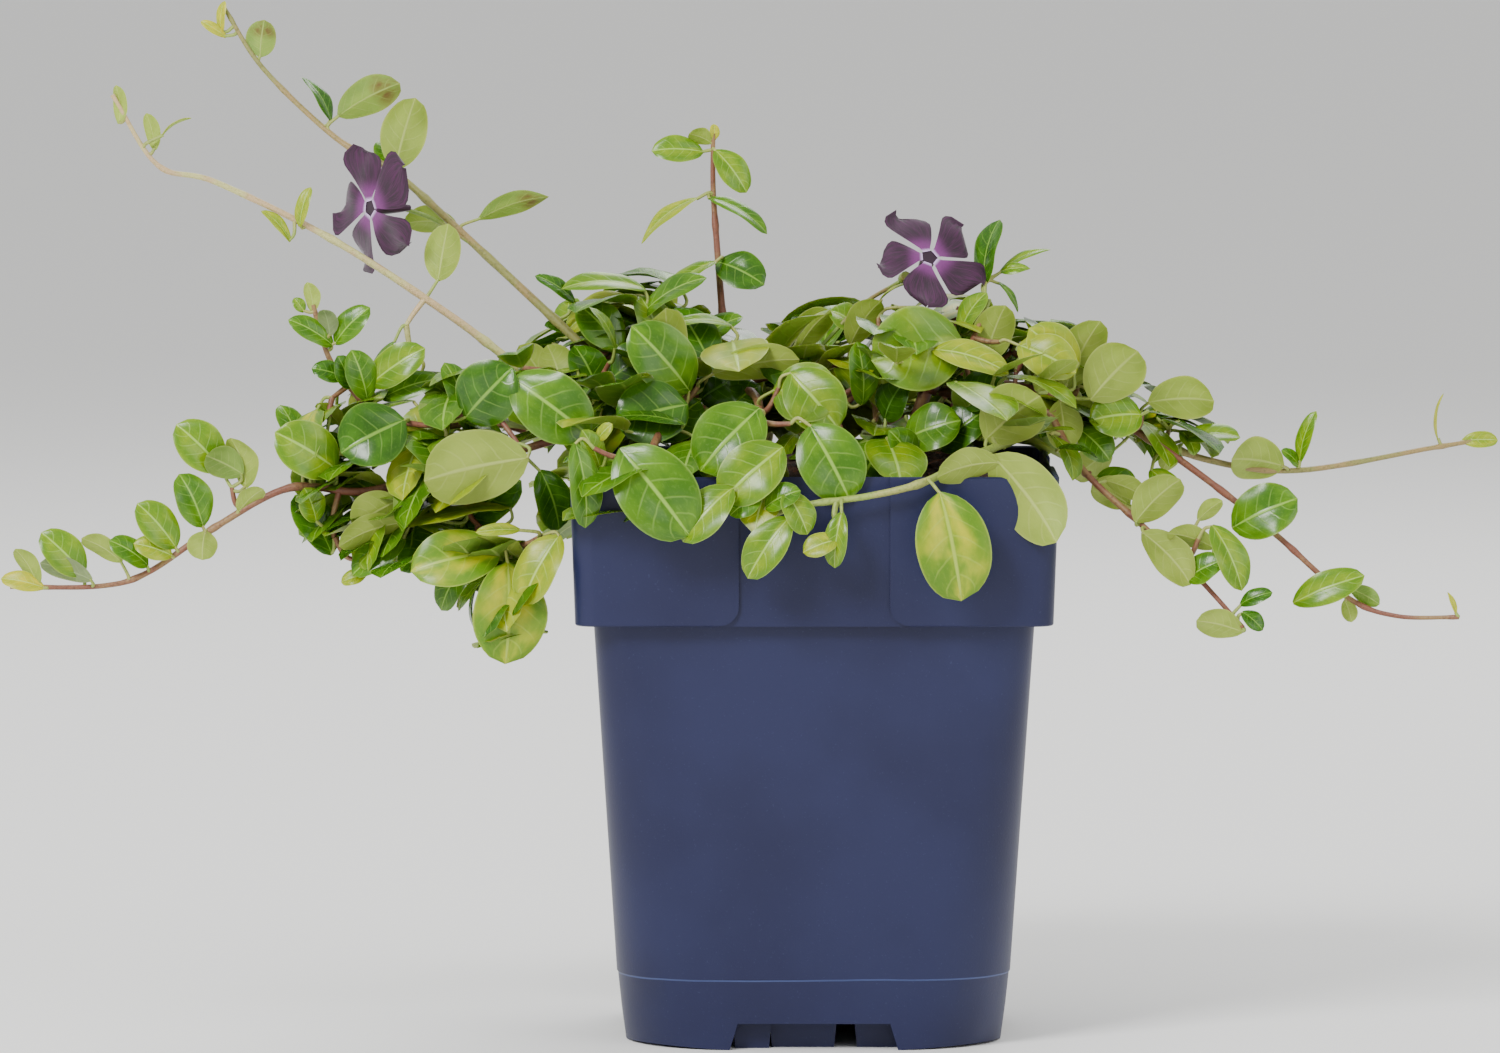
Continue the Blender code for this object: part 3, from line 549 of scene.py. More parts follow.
# Leaves that the photo shows, by group: pixel of the base, pixel of the tip, width, depth of
# the base, how far the tip leans away from the viewer, roll, look, and other shape words if any
SEEN_LEAVES = {
    "high_left": [
        ((222, 33), (224, 1), 3, 16, -1, 40, "young"),
        ((226, 37), (201, 21), 2.6, 16, -1, 20, "young"),
        ((260, 57), (264, 20), 7.5, 15, 2, 165, "spoiled", {"under": "under_brown_tip"}),
        ((338, 116), (400, 82), 9.5, 10, -3, 160, "lime", {"under": "under_brown_tip"}),
        ((331, 122), (303, 76), 6, 11, 2, 62, "deep", {"broad": False}),
        ((395, 169), (415, 98), 11, 9, 2, 170, "fresh", {"wave": 0.1}),
        ((395, 169), (380, 140), 7, 12, 3, 30, "rich"),
        ((458, 226), (404, 222), 8.5, 6, 4, 140, "lime"),
        ((479, 219), (549, 195), 6.5, 4, -4, 150, "fresh",
         {"under": "under_brown_tip", "broad": False}),
        ((575, 303), (536, 275), 5, -2, -3, 50, "deep", {"under": "under_grey"}),
        ((566, 332), (545, 325), 4, 0, -3, 60, "dark"),
    ],
    "pale_left": [
        ((119, 124), (117, 85), 4, -27, 0, 150, "young"),
        ((155, 150), (147, 113), 4, -25, 0, 160, "young"),
        ((162, 136), (191, 117), 3, -26, 2, 100, "young", {"broad": False}),
        ((300, 227), (310, 187), 4, -20, 0, 30, "lime", {"fold": 30}),
        ((290, 242), (262, 210), 4, -21, 0, 50, "lime", {"fold": 30}),
        ((438, 281), (448, 224), 8.5, -14, 3, 175, "fresh"),
        ((395, 341), (366, 398), 6, -18, -2, 70, "rich", {"under": "under_grey"}),
    ],
    "shoot_left": [
        ((313, 312), (308, 282), 4.5, -20, 0, 150, "young"),
        ((304, 312), (294, 298), 3, -20, 0, 20, "fresh"),
        ((333, 346), (289, 319), 6, -20, -3, 35, "rich"),
        ((330, 336), (324, 309), 5, -21, -3, 160, "fresh", {"under": "under_grey"}),
        ((335, 344), (369, 307), 7, -20, -2, 30, "rich"),
        ((345, 378), (312, 368), 5.5, -21, -2, 30, "deep"),
        ((350, 388), (338, 356), 6, -22, -3, 30, "deep"),
        ((367, 400), (352, 350), 8, -22, -2, 25, "rich"),
        ((370, 385), (424, 348), 9, -21, -4, 20, "fresh"),
        ((382, 399), (440, 378), 7, -19, -3, 35, "rich"),
    ],
    "low_left": [
        ((222, 470), (177, 424), 11, -32, -2, 20, "fresh"),
        ((243, 474), (206, 455), 8, -34, -3, 170, "rich"),
        ((246, 488), (232, 437), 9, -33, -3, 140, "fresh"),
        ((203, 527), (180, 474), 9.5, -34, -2, 30, "rich"),
        ((238, 512), (263, 488), 5.5, -33, -2, 150, "fresh"),
        ((205, 531), (202, 560), 7.5, -35, 0, 160, "lime"),
        ((176, 548), (138, 503), 9, -35, -2, 25, "fresh"),
        ((172, 556), (134, 543), 6, -36, -2, 30, "lime"),
        ((148, 566), (110, 540), 7, -36, -3, 40, "rich"),
        ((84, 575), (42, 532), 9, -36, -2, 20, "fresh"),
        ((122, 562), (82, 537), 6, -37, -2, 150, "lime"),
        ((92, 580), (40, 562), 5.5, -38, -2, 165, "fresh", {"under": "under_grey"}),
        ((38, 586), (16, 548), 5.5, -38, -2, 150, "lime"),
        ((44, 588), (1, 578), 5, -38, 0, 30, "young"),
    ],
    "left_mass": [
        ((337, 470), (276, 432), 13, -31, -6, 20, "fresh"),
        ((303, 462), (281, 404), 8, -26, 4, 40, "rich"),
        ((405, 420), (341, 452), 15.5, -34, -4, 15, "deep"),
        ((408, 470), (440, 403), 12, -30, 2, 20, "yellowing"),
        ((470, 432), (446, 362), 9, -28, 0, 40, "rich"),
        ((465, 418), (512, 368), 15, -38, -5, 10, "deep"),
        ((512, 378), (590, 436), 15.5, -42, -3, 10, "rich", {"wave": 0.12}),
        ((529, 458), (423, 480), 17.5, -47, -5, 170, "fresh"),
        ((332, 555), (296, 494), 10, -28, 2, 30, "deep"),
        ((316, 522), (305, 488), 7, -33, -2, 30, "fresh"),
        ((399, 500), (352, 528), 10.5, -34, -3, 165, "lime"),
        ((403, 522), (338, 545), 8, -36, -3, 150, "fresh"),
        ((405, 538), (352, 574), 8.5, -34, -2, 30, "rich"),
        ((366, 575), (341, 582), 4, -31, 0, 30, "lime"),
        ((500, 552), (411, 570), 14, -42, -5, 25, "yellowing"),
        ((508, 562), (506, 664), 17.5, -45, -3, 15, "yellowing", {"wave": 0.1}),
        ((560, 535), (522, 604), 11, -48, -2, 30, "lime"),
        ((520, 530), (476, 532), 3.6, -50, -3, 20, "lime", {"fold": 40}),
        ((440, 505), (455, 440), 12, -26, 0, 30, "deep"),
        ((460, 530), (520, 480), 12, -30, -3, 30, "deep"),
        ((380, 500), (330, 470), 10, -22, 4, 40, "rich"),
        ((450, 530), (400, 570), 10, -30, -3, 40, "deep"),
        ((470, 560), (440, 610), 9, -30, 0, 40, "rich"),
        ((540, 470), (560, 530), 10, -30, 2, 30, "deep"),
        ((420, 520), (430, 580), 12, -28, 2, 40, "deep"),
    ],
    "crown_left": [
        ((646, 290), (562, 286), 8, -2, -4, 62, "fresh"),
        ((640, 318), (705, 276), 9, -2, -4, 60, "rich"),
        ((628, 296), (566, 330), 9, 2, -2, 50, "lime"),
        ((716, 262), (667, 294), 6, 4, -3, 60, "fresh"),
        ((690, 392), (633, 326), 14.5, -28, -6, 15, "rich"),
        ((732, 326), (668, 324), 6, -10, -4, 70, "fresh"),
        ((712, 374), (800, 358), 9, -24, -4, 160, "lime"),
        ((688, 405), (617, 425), 16, -34, -5, 25, "deep"),
        ((620, 448), (690, 536), 18, -62, -3, 10, "rich", {"wave": 0.05}),
        ((760, 408), (700, 470), 16, -52, -5, 15, "rich"),
        ((783, 447), (722, 500), 13.5, -58, -3, 15, "fresh"),
        ((733, 488), (682, 541), 11, -62, -2, 30, "fresh"),
        ((575, 442), (587, 528), 8.5, -60, 0, 30, "rich"),
        ((600, 470), (583, 430), 6, -56, -3, 30, "fresh"),
        ((598, 440), (612, 424), 3.5, -57, -2, 30, "lime"),
        ((545, 385), (520, 345), 9, -8, 2, 150, "lime"),
        ((560, 380), (548, 345), 9, -14, 2, 160, "yellowing"),
        ((600, 400), (575, 345), 10, -14, 2, 30, "deep"),
        ((620, 350), (580, 305), 11, -6, 2, 30, "rich"),
        ((660, 345), (640, 295), 10, -4, 2, 40, "fresh"),
        ((610, 380), (660, 350), 11, -12, 0, 30, "deep"),
        ((700, 400), (745, 375), 12, -14, -2, 30, "dark"),
        ((720, 420), (760, 385), 12, -18, 0, 40, "deep"),
        ((590, 460), (560, 420), 10, -20, 0, 40, "rich"),
        ((660, 440), (700, 400), 12, -20, 0, 30, "deep"),
        ((700, 345), (742, 316), 9, 0, -2, 60, "rich"),
        ((610, 440), (640, 400), 11, -16, 0, 30, "dark"),
    ],
    "front_sprigs": [
        ((790, 517), (747, 578), 9.5, -63, -1, 20, "fresh"),
        ((785, 492), (808, 534), 8, -62, -2, 30, "fresh"),
        ((765, 508), (800, 490), 7, -61, -2, 40, "rich"),
        ((842, 512), (834, 568), 6, -62, -1, 20, "fresh", {"fold": 25}),
        ((838, 540), (803, 552), 6, -63, -1, 30, "lime", {"under": "under_brown_tip"}),
        ((760, 495), (730, 515), 7, -60, -2, 30, "rich"),
        ((940, 492), (962, 601), 17.5, -63, -2, 10, "yellowing"),
        ((810, 425), (850, 500), 15.5, -52, -4, 10, "rich"),
    ],
    "crown_right": [
        ((773, 390), (838, 400), 15, -34, -5, 20, "fresh"),
        ((790, 372), (838, 428), 14, -36, -4, 10, "fresh"),
        ((862, 405), (858, 342), 8, -26, -3, 30, "rich"),
        ((962, 340), (872, 360), 20, -26, -5, 10, "fresh"),
        ((932, 350), (1009, 372), 9, -30, -4, 45, "lime"),
        ((990, 300), (970, 330), 8, -12, 0, 150, "lime"),
        ((985, 285), (998, 219), 9, -6, 2, 55, "deep"),
        ((1000, 272), (1050, 248), 3.5, -4, 2, 60, "fresh", {"broad": False}),
        ((1000, 272), (1030, 268), 3.5, -5, -2, 40, "fresh", {"broad": False}),
        ((998, 282), (1019, 312), 3, -4, 0, 60, "rich", {"broad": False}),
        ((960, 335), (986, 292), 7.5, -14, 0, 50, "fresh"),
        ((985, 362), (1005, 305), 10, -18, 0, 165, "fresh"),
        ((1018, 345), (1076, 372), 11, -24, -4, 25, "lime"),
        ((985, 440), (1040, 395), 15, -44, -3, 165, "lime"),
        ((992, 455), (1058, 542), 15.5, -56, -5, 160, "lime"),
        ((1000, 462), (936, 476), 9, -56, -4, 150, "lime"),
        ((880, 300), (912, 282), 3.5, -4, -2, 90, "lime", {"broad": False}),
        ((870, 470), (900, 440), 10, -30, -4, 40, "deep"),
        ((905, 440), (960, 420), 12, -30, -4, 30, "rich"),
        ((940, 450), (985, 410), 11, -28, -2, 35, "deep"),
        ((860, 330), (830, 310), 9, -4, 0, 50, "fresh"),
        ((800, 345), (830, 310), 9, -6, 0, 150, "lime"),
        ((850, 345), (880, 300), 9, -8, 0, 150, "lime"),
        ((885, 420), (905, 380), 10, -24, -4, 40, "dark"),
        ((960, 400), (1005, 385), 11, -26, -4, 35, "dark"),
        ((915, 470), (890, 430), 9, -34, -4, 40, "rich"),
    ],
    "right_mass": [
        ((1066, 385), (1100, 320), 10.5, -18, -3, 165, "fresh"),
        ((1075, 375), (1030, 328), 12, -20, -4, 20, "lime"),
        ((1090, 400), (1138, 350), 14, -22, -4, 170, "lime"),
        ((1148, 402), (1215, 400), 11, -16, -6, 160, "fresh"),
        ((1142, 415), (1090, 420), 12, -18, -4, 30, "fresh"),
        ((1060, 400), (1065, 450), 9, -20, -2, 165, "lime"),
        ((1180, 430), (1195, 455), 8, 2, -2, 60, "fresh"),
        ((1080, 430), (1110, 460), 9, -18, -2, 30, "rich"),
        ((1062, 430), (1098, 408), 9, -12, 2, 160, "lime"),
        ((1112, 452), (1074, 478), 9, -10, 0, 150, "fresh"),
        ((1096, 478), (1138, 488), 8, -14, 0, 40, "rich"),
        ((1130, 505), (1092, 484), 8, -22, 0, 160, "lime"),
        ((1150, 470), (1176, 498), 7, -12, -2, 40, "fresh"),
        ((1182, 440), (1240, 436), 8, 2, -3, 60, "fresh"),
        ((1180, 446), (1162, 470), 6, 4, 0, 150, "lime"),
    ],
    "runner_right": [
        ((1300, 462), (1315, 411), 4.5, 12, -2, 40, "fresh"),
        ((1298, 466), (1282, 450), 4, 12, -3, 50, "rich"),
        ((1284, 466), (1231, 458), 11.5, 10, -4, 160, "lime"),
        ((1438, 440), (1442, 393), 2.6, 17, 0, 80, "young", {"broad": False}),
        ((1462, 441), (1498, 440), 4.2, 19, 0, 20, "lime"),
        ((1472, 440), (1494, 434), 3, 20, 2, 60, "young"),
    ],
    "far_right": [
        ((1232, 528), (1297, 498), 13, -12, -3, 20, "rich"),
        ((1293, 603), (1364, 575), 8, -18, -3, 20, "fresh"),
        ((1350, 588), (1380, 604), 4.5, -18, -2, 165, "rich"),
        ((1345, 600), (1352, 622), 4, -18, 0, 160, "fresh"),
        ((1456, 614), (1448, 592), 1.6, -25, 0, 30, "young", {"broad": False}),
    ],
    "low_right": [
        ((1135, 522), (1180, 478), 10, -34, -3, 160, "fresh"),
        ((1142, 532), (1192, 584), 10.5, -36, -3, 150, "lime"),
        ((1215, 548), (1167, 532), 6.5, -36, -3, 150, "fresh"),
        ((1187, 580), (1222, 560), 8, -38, -3, 40, "rich"),
        ((1212, 525), (1243, 590), 8.5, -38, -3, 30, "fresh"),
        ((1240, 605), (1272, 592), 4.5, -40, -2, 40, "deep"),
        ((1243, 632), (1196, 620), 7.5, -41, -2, 160, "lime"),
        ((1242, 612), (1263, 630), 4.5, -41, -1, 30, "deep"),
        ((1198, 520), (1222, 500), 4.5, -30, 0, 160, "young"),
        ((1105, 480), (1150, 500), 6, -28, -2, 150, "lime"),
    ],
    "upright": [
        ((703, 152), (652, 150), 7, 12, -3, 28, "fresh"),
        ((712, 143), (689, 133), 5, 12, -2, 150, "yellowing"),
        ((714, 140), (714, 124), 2.6, 12, 0, 20, "young"),
        ((715, 150), (747, 192), 7.5, 11, -2, 25, "fresh"),
        ((698, 198), (640, 242), 6, 10, -2, 62, "lime", {"broad": False}),
        ((708, 198), (768, 232), 6, 10, -3, 58, "rich", {"under": "under_grey"}),
        ((717, 262), (764, 284), 10, 8, -5, 30, "deep"),
        ((714, 262), (668, 292), 6, 8, -3, 60, "fresh"),
    ],
}

leaves = {side: Pile() for side in ("left", "crown", "right", "back")}
# The first of these words in the name of a group or node says which foliage it belongs to
SIDES = {"back": "back", "crown": "crown", "upright": "crown", "left": "left",
         "right": "right", "front": "crown"}


def side_of(name):
    """The foliage that a group of leaves or a leaf node belongs to."""
    return next(side for word, side in SIDES.items() if word in name)


SEEN_SHAPE = dict(rows=16, columns=8, bow=0.09, wave=0.07, curl=0.04)
for group, rows in SEEN_LEAVES.items():
    for base_pixel, tip_pixel, width, depth, lean, roll, look, *words in rows:
        base = photo_place(*base_pixel, depth)
        tip = photo_place(*tip_pixel, depth + lean)
        shape = dict(SEEN_SHAPE)
        shape.update(*words)
        add_leaf(leaves[side_of(group)], base, tip, width, facing(base, tip, roll), look, **shape)
        hang_leaf(base, tip)


# Masses that the seeded rule fills, with how many leaves it tries to grow in each
FILLED = {
    "mass_left_outer": 9, "mass_left_upper": 18, "mass_left_inner": 18, "mass_left_front": 14,
    "mass_left_under": 16, "mass_left_middle": 20, "mass_left_hanging": 11, "crown_left": 22,
    "crown_top_left": 15, "crown_middle_left": 15, "crown_front_left": 6,
    "crown_front_middle": 7, "crown_middle": 20, "crown_middle_right": 14, "crown_right": 20,
    "crown_front_right": 10, "mass_right_inner": 20, "mass_right_outer": 11,
    "crown_back_left": 66, "crown_back_middle": 84, "crown_back_right": 76,
    "mass_back_left": 40, "mass_back_right": 46, "leaves_back_tip": 12,
}
FILL_LOOKS = ("deep", "rich", "rich", "rich", "fresh", "fresh", "fresh", "dark", "lime", "lime",
              "deep", "yellowing")
ROUND_CROWN = Vector((0, 0, 138))
# Where a seeded blade starts, as shares of its mass's half size: furthest out, depth for
# width, and how far it is kept behind the leaves that the photo shows
FURTHEST = 0.85
DEPTH_SHARE = 0.75
BEHIND = 0.35
# Its length, the least that it may be cut to, how far it may pass the box, width for length
BLADE_LONG = (15, 25)
LEAST_LONG = 9
PAST_BOX = 2
BLADE_WIDE = (0.56, 0.72)
# Outline of the dense foliage and of the pot below it, in the photo's pixels
DENSE_OUTLINE = (
    (292, 470), (275, 430), (290, 404), (340, 396), (362, 372), (395, 348), (425, 352),
    (446, 372), (470, 366), (505, 352), (532, 342), (556, 300), (575, 280), (640, 272),
    (705, 276), (712, 318), (752, 340), (790, 318), (840, 296), (880, 300), (970, 296),
    (1025, 318), (1080, 318), (1112, 344), (1142, 376), (1190, 378), (1215, 400),
    (1200, 420), (1240, 440), (1180, 480), (1150, 505), (1110, 505), (1064, 480),
    (1056, 640), (566, 640), (560, 600), (540, 655), (480, 655), (450, 606), (412, 568),
    (360, 582), (340, 556), (302, 548), (290, 505),
)
TRIES = 16


def in_outline(place):
    """Whether the photo's camera sees a place within the dense outline."""
    offset = place - CAMERA_PLACE
    depth = offset.dot(CAMERA_AHEAD)
    px = PHOTO_WIDE / 2 + FOCAL_PIXELS * offset.x / depth
    py = PHOTO_HIGH / 2 - FOCAL_PIXELS * offset.dot(CAMERA_UP) / depth
    inside = False
    for (x0, y0), (x1, y1) in zip(DENSE_OUTLINE, DENSE_OUTLINE[1:] + DENSE_OUTLINE[:1]):
        if (y0 > py) != (y1 > py) and px < x0 + (py - y0) / (y1 - y0) * (x1 - x0):
            inside = not inside
    return inside


def grow_blade(low, high, behind):
    """A seeded blade in a mass's box, as base, tip, width and upper side; none if it fails.

    It grows out from the middle of the crown, and all of it has to lie in the dense outline.
    """
    half = (high - low) / 2
    for _ in range(TRIES):
        spread = Vector([chance.uniform(-FURTHEST, FURTHEST) for _ in range(3)])
        spread.y = spread.y * DEPTH_SHARE + behind
        base = (low + high) / 2 + Vector([half[k] * spread[k] for k in range(3)])
        out = (base - ROUND_CROWN).normalized()
        swing = Vector([chance.uniform(-1, 1) for _ in range(3)])
        ahead = (out * 0.9 + swing * 0.8 + Vector((0, 0, -0.1))).normalized()
        tip = base + ahead * chance.uniform(*BLADE_LONG)
        for k in range(3):
            tip[k] = min(max(tip[k], low[k] - PAST_BOX), high[k] + PAST_BOX)
        if (tip - base).length < LEAST_LONG:
            tip = base + ahead * (LEAST_LONG + 1)
        width = (tip - base).length * chance.uniform(*BLADE_WIDE)
        upward = (out * 0.7 + UP * 0.9 + swing * 0.3).normalized()
        wide = (tip - base).cross(upward).normalized() * width * 0.4
        belly = (base + tip) / 2
        if all(in_outline(place) for place in (base, tip, belly + wide, belly - wide)):
            return base, tip, width, upward
    return None


for node, count in FILLED.items():
    low, high = [Vector(corner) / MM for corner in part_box(node)]
    for _ in range(count):
        blade = grow_blade(low, high, 0.0 if "back" in node else BEHIND)
        if blade:
            add_leaf(leaves[side_of(node)], *blade, chance.choice(FILL_LOOKS),
                     bow=chance.uniform(0.02, 0.12), fold=chance.uniform(6, 24),
                     curl=chance.uniform(0, 0.1), wave=chance.uniform(0, 0.1))
            hang_leaf(blade[0], blade[1])

LEAF_MATERIALS = [finish for _, finish in finishes.values()]
leaf_nodes = [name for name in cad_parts
              if name.startswith(("leaf", "leaves", "mass", "crown", "sprig"))]
for side, pile in leaves.items():
    # The upright shoot's two nodes are named under the right foliage too
    shown = [node for node in leaf_nodes
             if side_of(node) == side or side == "right" and "upright" in node]
    pile.piece("foliage_" + side, LEAF_MATERIALS, shown, "leaves")
twigs.piece("petioles_and_twigs", list(BARKS.values()), [], "stems")


def petal_finish():
    """Velvety living petal: to the eye nearly black purple with fine streaks and a soft bloom.

    It turns violet towards the throat and pale in it. On a petal of 13 by 11 mm the streaks are
    about 4 mm long and 0.4 mm wide.
    """
    material, shader = new_material("dark_velvet_petal")
    add = partial(add_node, material)
    where = add("UVMap", uv_map="OFBake")
    along = add("SeparateXYZ", (where,), "X")
    drawn_out = add("Mapping", {"Vector": where, "Scale": (1.5, 14.0, 1.0)})
    streak = add("TexNoise", {"Vector": drawn_out, "Scale": 2.0, "Detail": 3.0}, "Fac")
    feed(shader, {
        "Base Color": coated(
            material, "24041F", (add("MapRange", (streak, 0.35, 0.7), **SMOOTH), "450C3E"),
            (add("MapRange", (along, 0.1, 0.42, 1.0, 0.0), **SMOOTH), "702A6E"),
            (add("MapRange", (along, 0.0, 0.09, 1.0, 0.0), **SMOOTH), "CDB0DC")),
        "Normal": add("Bump", {"Height": streak, "Strength": 0.4, "Distance": 0.2 * MM}),
        "Roughness": 0.62,
        "Sheen Weight": 0.35,
        "Sheen Roughness": 0.4})
    return material


# A petal's blunt end starts at this share of its length and takes up this one
BLUNT_FROM = 0.72
BLUNT_LONG = 0.28
PETALS = 5
FIRST_PETAL = 0.2
# Half width and sideways sweep, as shares of the flower's radius
PETAL_WIDE = 0.44
PETAL_SWEEP = 0.22
THROAT_RADIUS = 1.6
PETAL_THICK = 0.24
# Flower tube: distance behind the face and radius
FLOWER_TUBE = ((-1.0, 2.1), (0.0, 1.8), (3.0, 1.5), (7.0, 1.1), (10.0, 0.7))
# Each flower: pixel and depth of its centre, the way it faces, its radius, the way its stalk
# leaves, and pixel and depth of the stalk's foot
FLOWERS = (
    ((374, 208), -6, (-0.8, -0.62, 0.02), 14.5, (0.25, 1, 0.0), (478, 248), 2),
    ((928, 260), -8, (0.25, -0.78, 0.58), 12.5, (-0.6, 0.8, -0.5), (812, 356), -10),
)
CALYX_RADIUS = 1.3
STALK_RADIUS = 0.5


def petal_half(u):
    """Half width of a petal: narrow claw, then a broad, blunt end."""
    if u < BLUNT_FROM:
        return 0.16 + 0.84 * min(1.0, max(0.0, u - 0.05) / 0.62) ** 0.9
    return max(0.02, math.cos((u - BLUNT_FROM) / BLUNT_LONG * math.pi / 2) ** 0.55)


def add_flower(pile, centre, outward, radius):
    """Five oblique petals round a throat, their faces to outward."""
    outward = outward.normalized()
    first = (UP - outward * UP.dot(outward)).normalized()
    second = outward.cross(first)
    for petal in range(PETALS):
        angle = math.tau * petal / PETALS + FIRST_PETAL
        ray = first * math.cos(angle) + second * math.sin(angle)
        sideways = first * -math.sin(angle) + second * math.cos(angle)
        length = radius * chance.uniform(0.92, 1.06)

        def place(u, v, side):
            v = v * 2 - 1
            half = radius * PETAL_WIDE * petal_half(u)
            sweep = PETAL_SWEEP * radius * u * u
            reach = THROAT_RADIUS + (length - THROAT_RADIUS) * u * (1.0 + 0.07 * v)
            dish = -0.1 * radius * u * u + 0.07 * radius * v * u
            ripple = 0.05 * radius * math.sin(5 * u + 3 * v + petal) * u
            return (centre + ray * reach + sideways * (v * half + sweep)
                    + outward * (1.2 + dish + ripple + PETAL_THICK / 2 * side))

        corners, faces, grid = closed_sheet(10, 6, place)
        pile.add(corners, faces, [0] * len(faces), [spot for _, ring in grid for spot in ring])
    add_tube(pile, [centre - outward * behind for behind, _ in FLOWER_TUBE],
             [tube_radius for _, tube_radius in FLOWER_TUBE], 10)


petal_skin = petal_finish()
calyx_skin = bark_finish("green_calyx", "7E9A3E", "5C7A2E", "8C7A4A")
blossom = Pile()
stalks = Pile()
for pixel, depth, outward, radius, stalk_way, foot_pixel, foot_depth in FLOWERS:
    centre = photo_place(*pixel, depth)
    add_flower(blossom, centre, Vector(outward), radius)
    away = Vector(stalk_way).normalized()
    start = centre + away * 9
    foot = photo_place(*foot_pixel, foot_depth)
    route = smooth_route((start, start + away * 4, (start + foot) / 2 + Vector((0, 1, 2)), foot), 7)
    radii = [CALYX_RADIUS if i < 5 else STALK_RADIUS for i in range(len(route))]
    add_tube(stalks, route, radii, 8)
blossom.piece("blossom", [petal_skin], ["flower_left", "flower_right"], "petals")
stalks.piece("flower_stalks", [calyx_skin], [], "stems")

# Pot
POT_HEIGHT = 131.0
COLLAR_LOW = 97.2
MOULD_LINE = 16.0
POT_ARC = 18
POT_WALL = 1.3
COLLAR_WALL = 1.5
# Half width and corner radius at the foot, the mould line, under the collar, and of the collar
AT_FOOT = (42.9, 24.0)
AT_LINE = (44.9, 20.5)
UNDER_COLLAR = (49.8, 7.0)
COLLAR_FOOT = (53.9, 5.0)
COLLAR_RIM = (55.1, 5.0)
# Height, inset, whether it's the collar, corner lift: inside of the foot, out, up and in
POT_PROFILE = (
    (6.5, POT_WALL, False, 0.0), (0.0, POT_WALL, False, 0.6), (0.0, 0.0, False, 0.6),
    (8.0, 0.0, False, 0.2), (MOULD_LINE, 0.25, False, 0.0), (MOULD_LINE + 0.35, 0.0, False, 0.0),
    (36.0, 0.0, False, 0.0), (56.0, 0.0, False, 0.0), (77.0, 0.0, False, 0.0),
    (COLLAR_LOW, 0.0, False, 0.0), (COLLAR_LOW, 0.3, True, 0.0), (COLLAR_LOW + 0.3, 0.0, True, 0.0),
    (POT_HEIGHT - 0.4, 0.0, True, 0.0), (POT_HEIGHT, 0.4, True, 0.0),
    (POT_HEIGHT, COLLAR_WALL - 0.3, True, 0.0), (POT_HEIGHT - 0.3, COLLAR_WALL, True, 0.0),
    (COLLAR_LOW + POT_WALL, COLLAR_WALL, True, 0.0),
    (COLLAR_LOW + POT_WALL, POT_WALL + 0.1, False, 0.0), (MOULD_LINE, POT_WALL, False, 0.0),
    (8.0, POT_WALL, False, 0.0),
)
# Bars under the floor: left and right side, and half length
BARS = ((-18.5, -9.5, 38.9), (-10.2, 5.3, 36.9), (9.1, 19.6, 36.9))
BAR_HIGH = 7.0
BAR_DRAFT = 0.7
PANEL_HALF = 17.0
PANEL_FLARE = 4.5
PANEL_DEEP = 0.9
PANEL_STEPS = 10
LIP_LOW = 127.0
LIP_DEEP = 1.0
NOTCH = ((-19.4, -1.0), (19.4, -1.0), (17.3, 6.1), (-17.3, 6.1))
NOTCH_NEAR = -47.9
NOTCH_FAR = -39.2
SMOOTH_BELOW = math.radians(28)


def plastic_finish():
    """Injection moulded polypropylene, dyed navy: to the eye matt with a soft broad shine.

    A grain breaks the shine, drawn at 0.5 mm, coarser than it is, so that it shows. A thin pale
    line, about 16 mm up, shows where the mould's halves met.
    """
    material, shader = new_material("moulded_navy_polypropylene")
    add = partial(add_node, material)
    where = add("TexCoord", (), "Object")
    cloud = add("TexNoise", {"Vector": where, "Scale": 1 / (40 * MM), "Detail": 3.0}, "Fac")
    grain = add("TexNoise", {"Vector": where, "Scale": 1 / (0.5 * MM), "Detail": 2.0}, "Fac")
    height = add("SeparateXYZ", (where,), "Z")
    wander = add("Math", (cloud, 1.2 * MM, 15.5 * MM), operation="MULTIPLY_ADD")
    gap = add("Math", (height, wander), operation="SUBTRACT")
    gap = add("Math", (gap,), operation="ABSOLUTE")
    feed(shader, {
        "Base Color": coated(
            material, "1A1D3E", (add("MapRange", (cloud, 0.35, 0.65), **SMOOTH), "1F2346"),
            (add("MapRange", (grain, 0.66, 0.74, 0.0, 0.15), **SMOOTH), "4A5278"),
            (add("MapRange", (gap, 0.12 * MM, 0.26 * MM, 0.6, 0.0), **SMOOTH), "4F5F92")),
        "Normal": add("Bump", {"Height": grain, "Strength": 0.25, "Distance": 0.1 * MM}),
        "Roughness": 0.42,
        "Specular IOR Level": 0.32})
    return material


def rounded_square(half, radius):
    """The outline of a rounded square, from corner to corner."""
    points = []
    for corner in range(4):
        turn = corner * math.pi / 2
        reach = (half - radius) * math.sqrt(2)
        for step in range(POT_ARC + 1):
            angle = turn + step / POT_ARC * math.pi / 2
            points.append((reach * math.cos(turn + math.pi / 4) + radius * math.cos(angle),
                           reach * math.sin(turn + math.pi / 4) + radius * math.sin(angle),
                           step / POT_ARC))
    return points


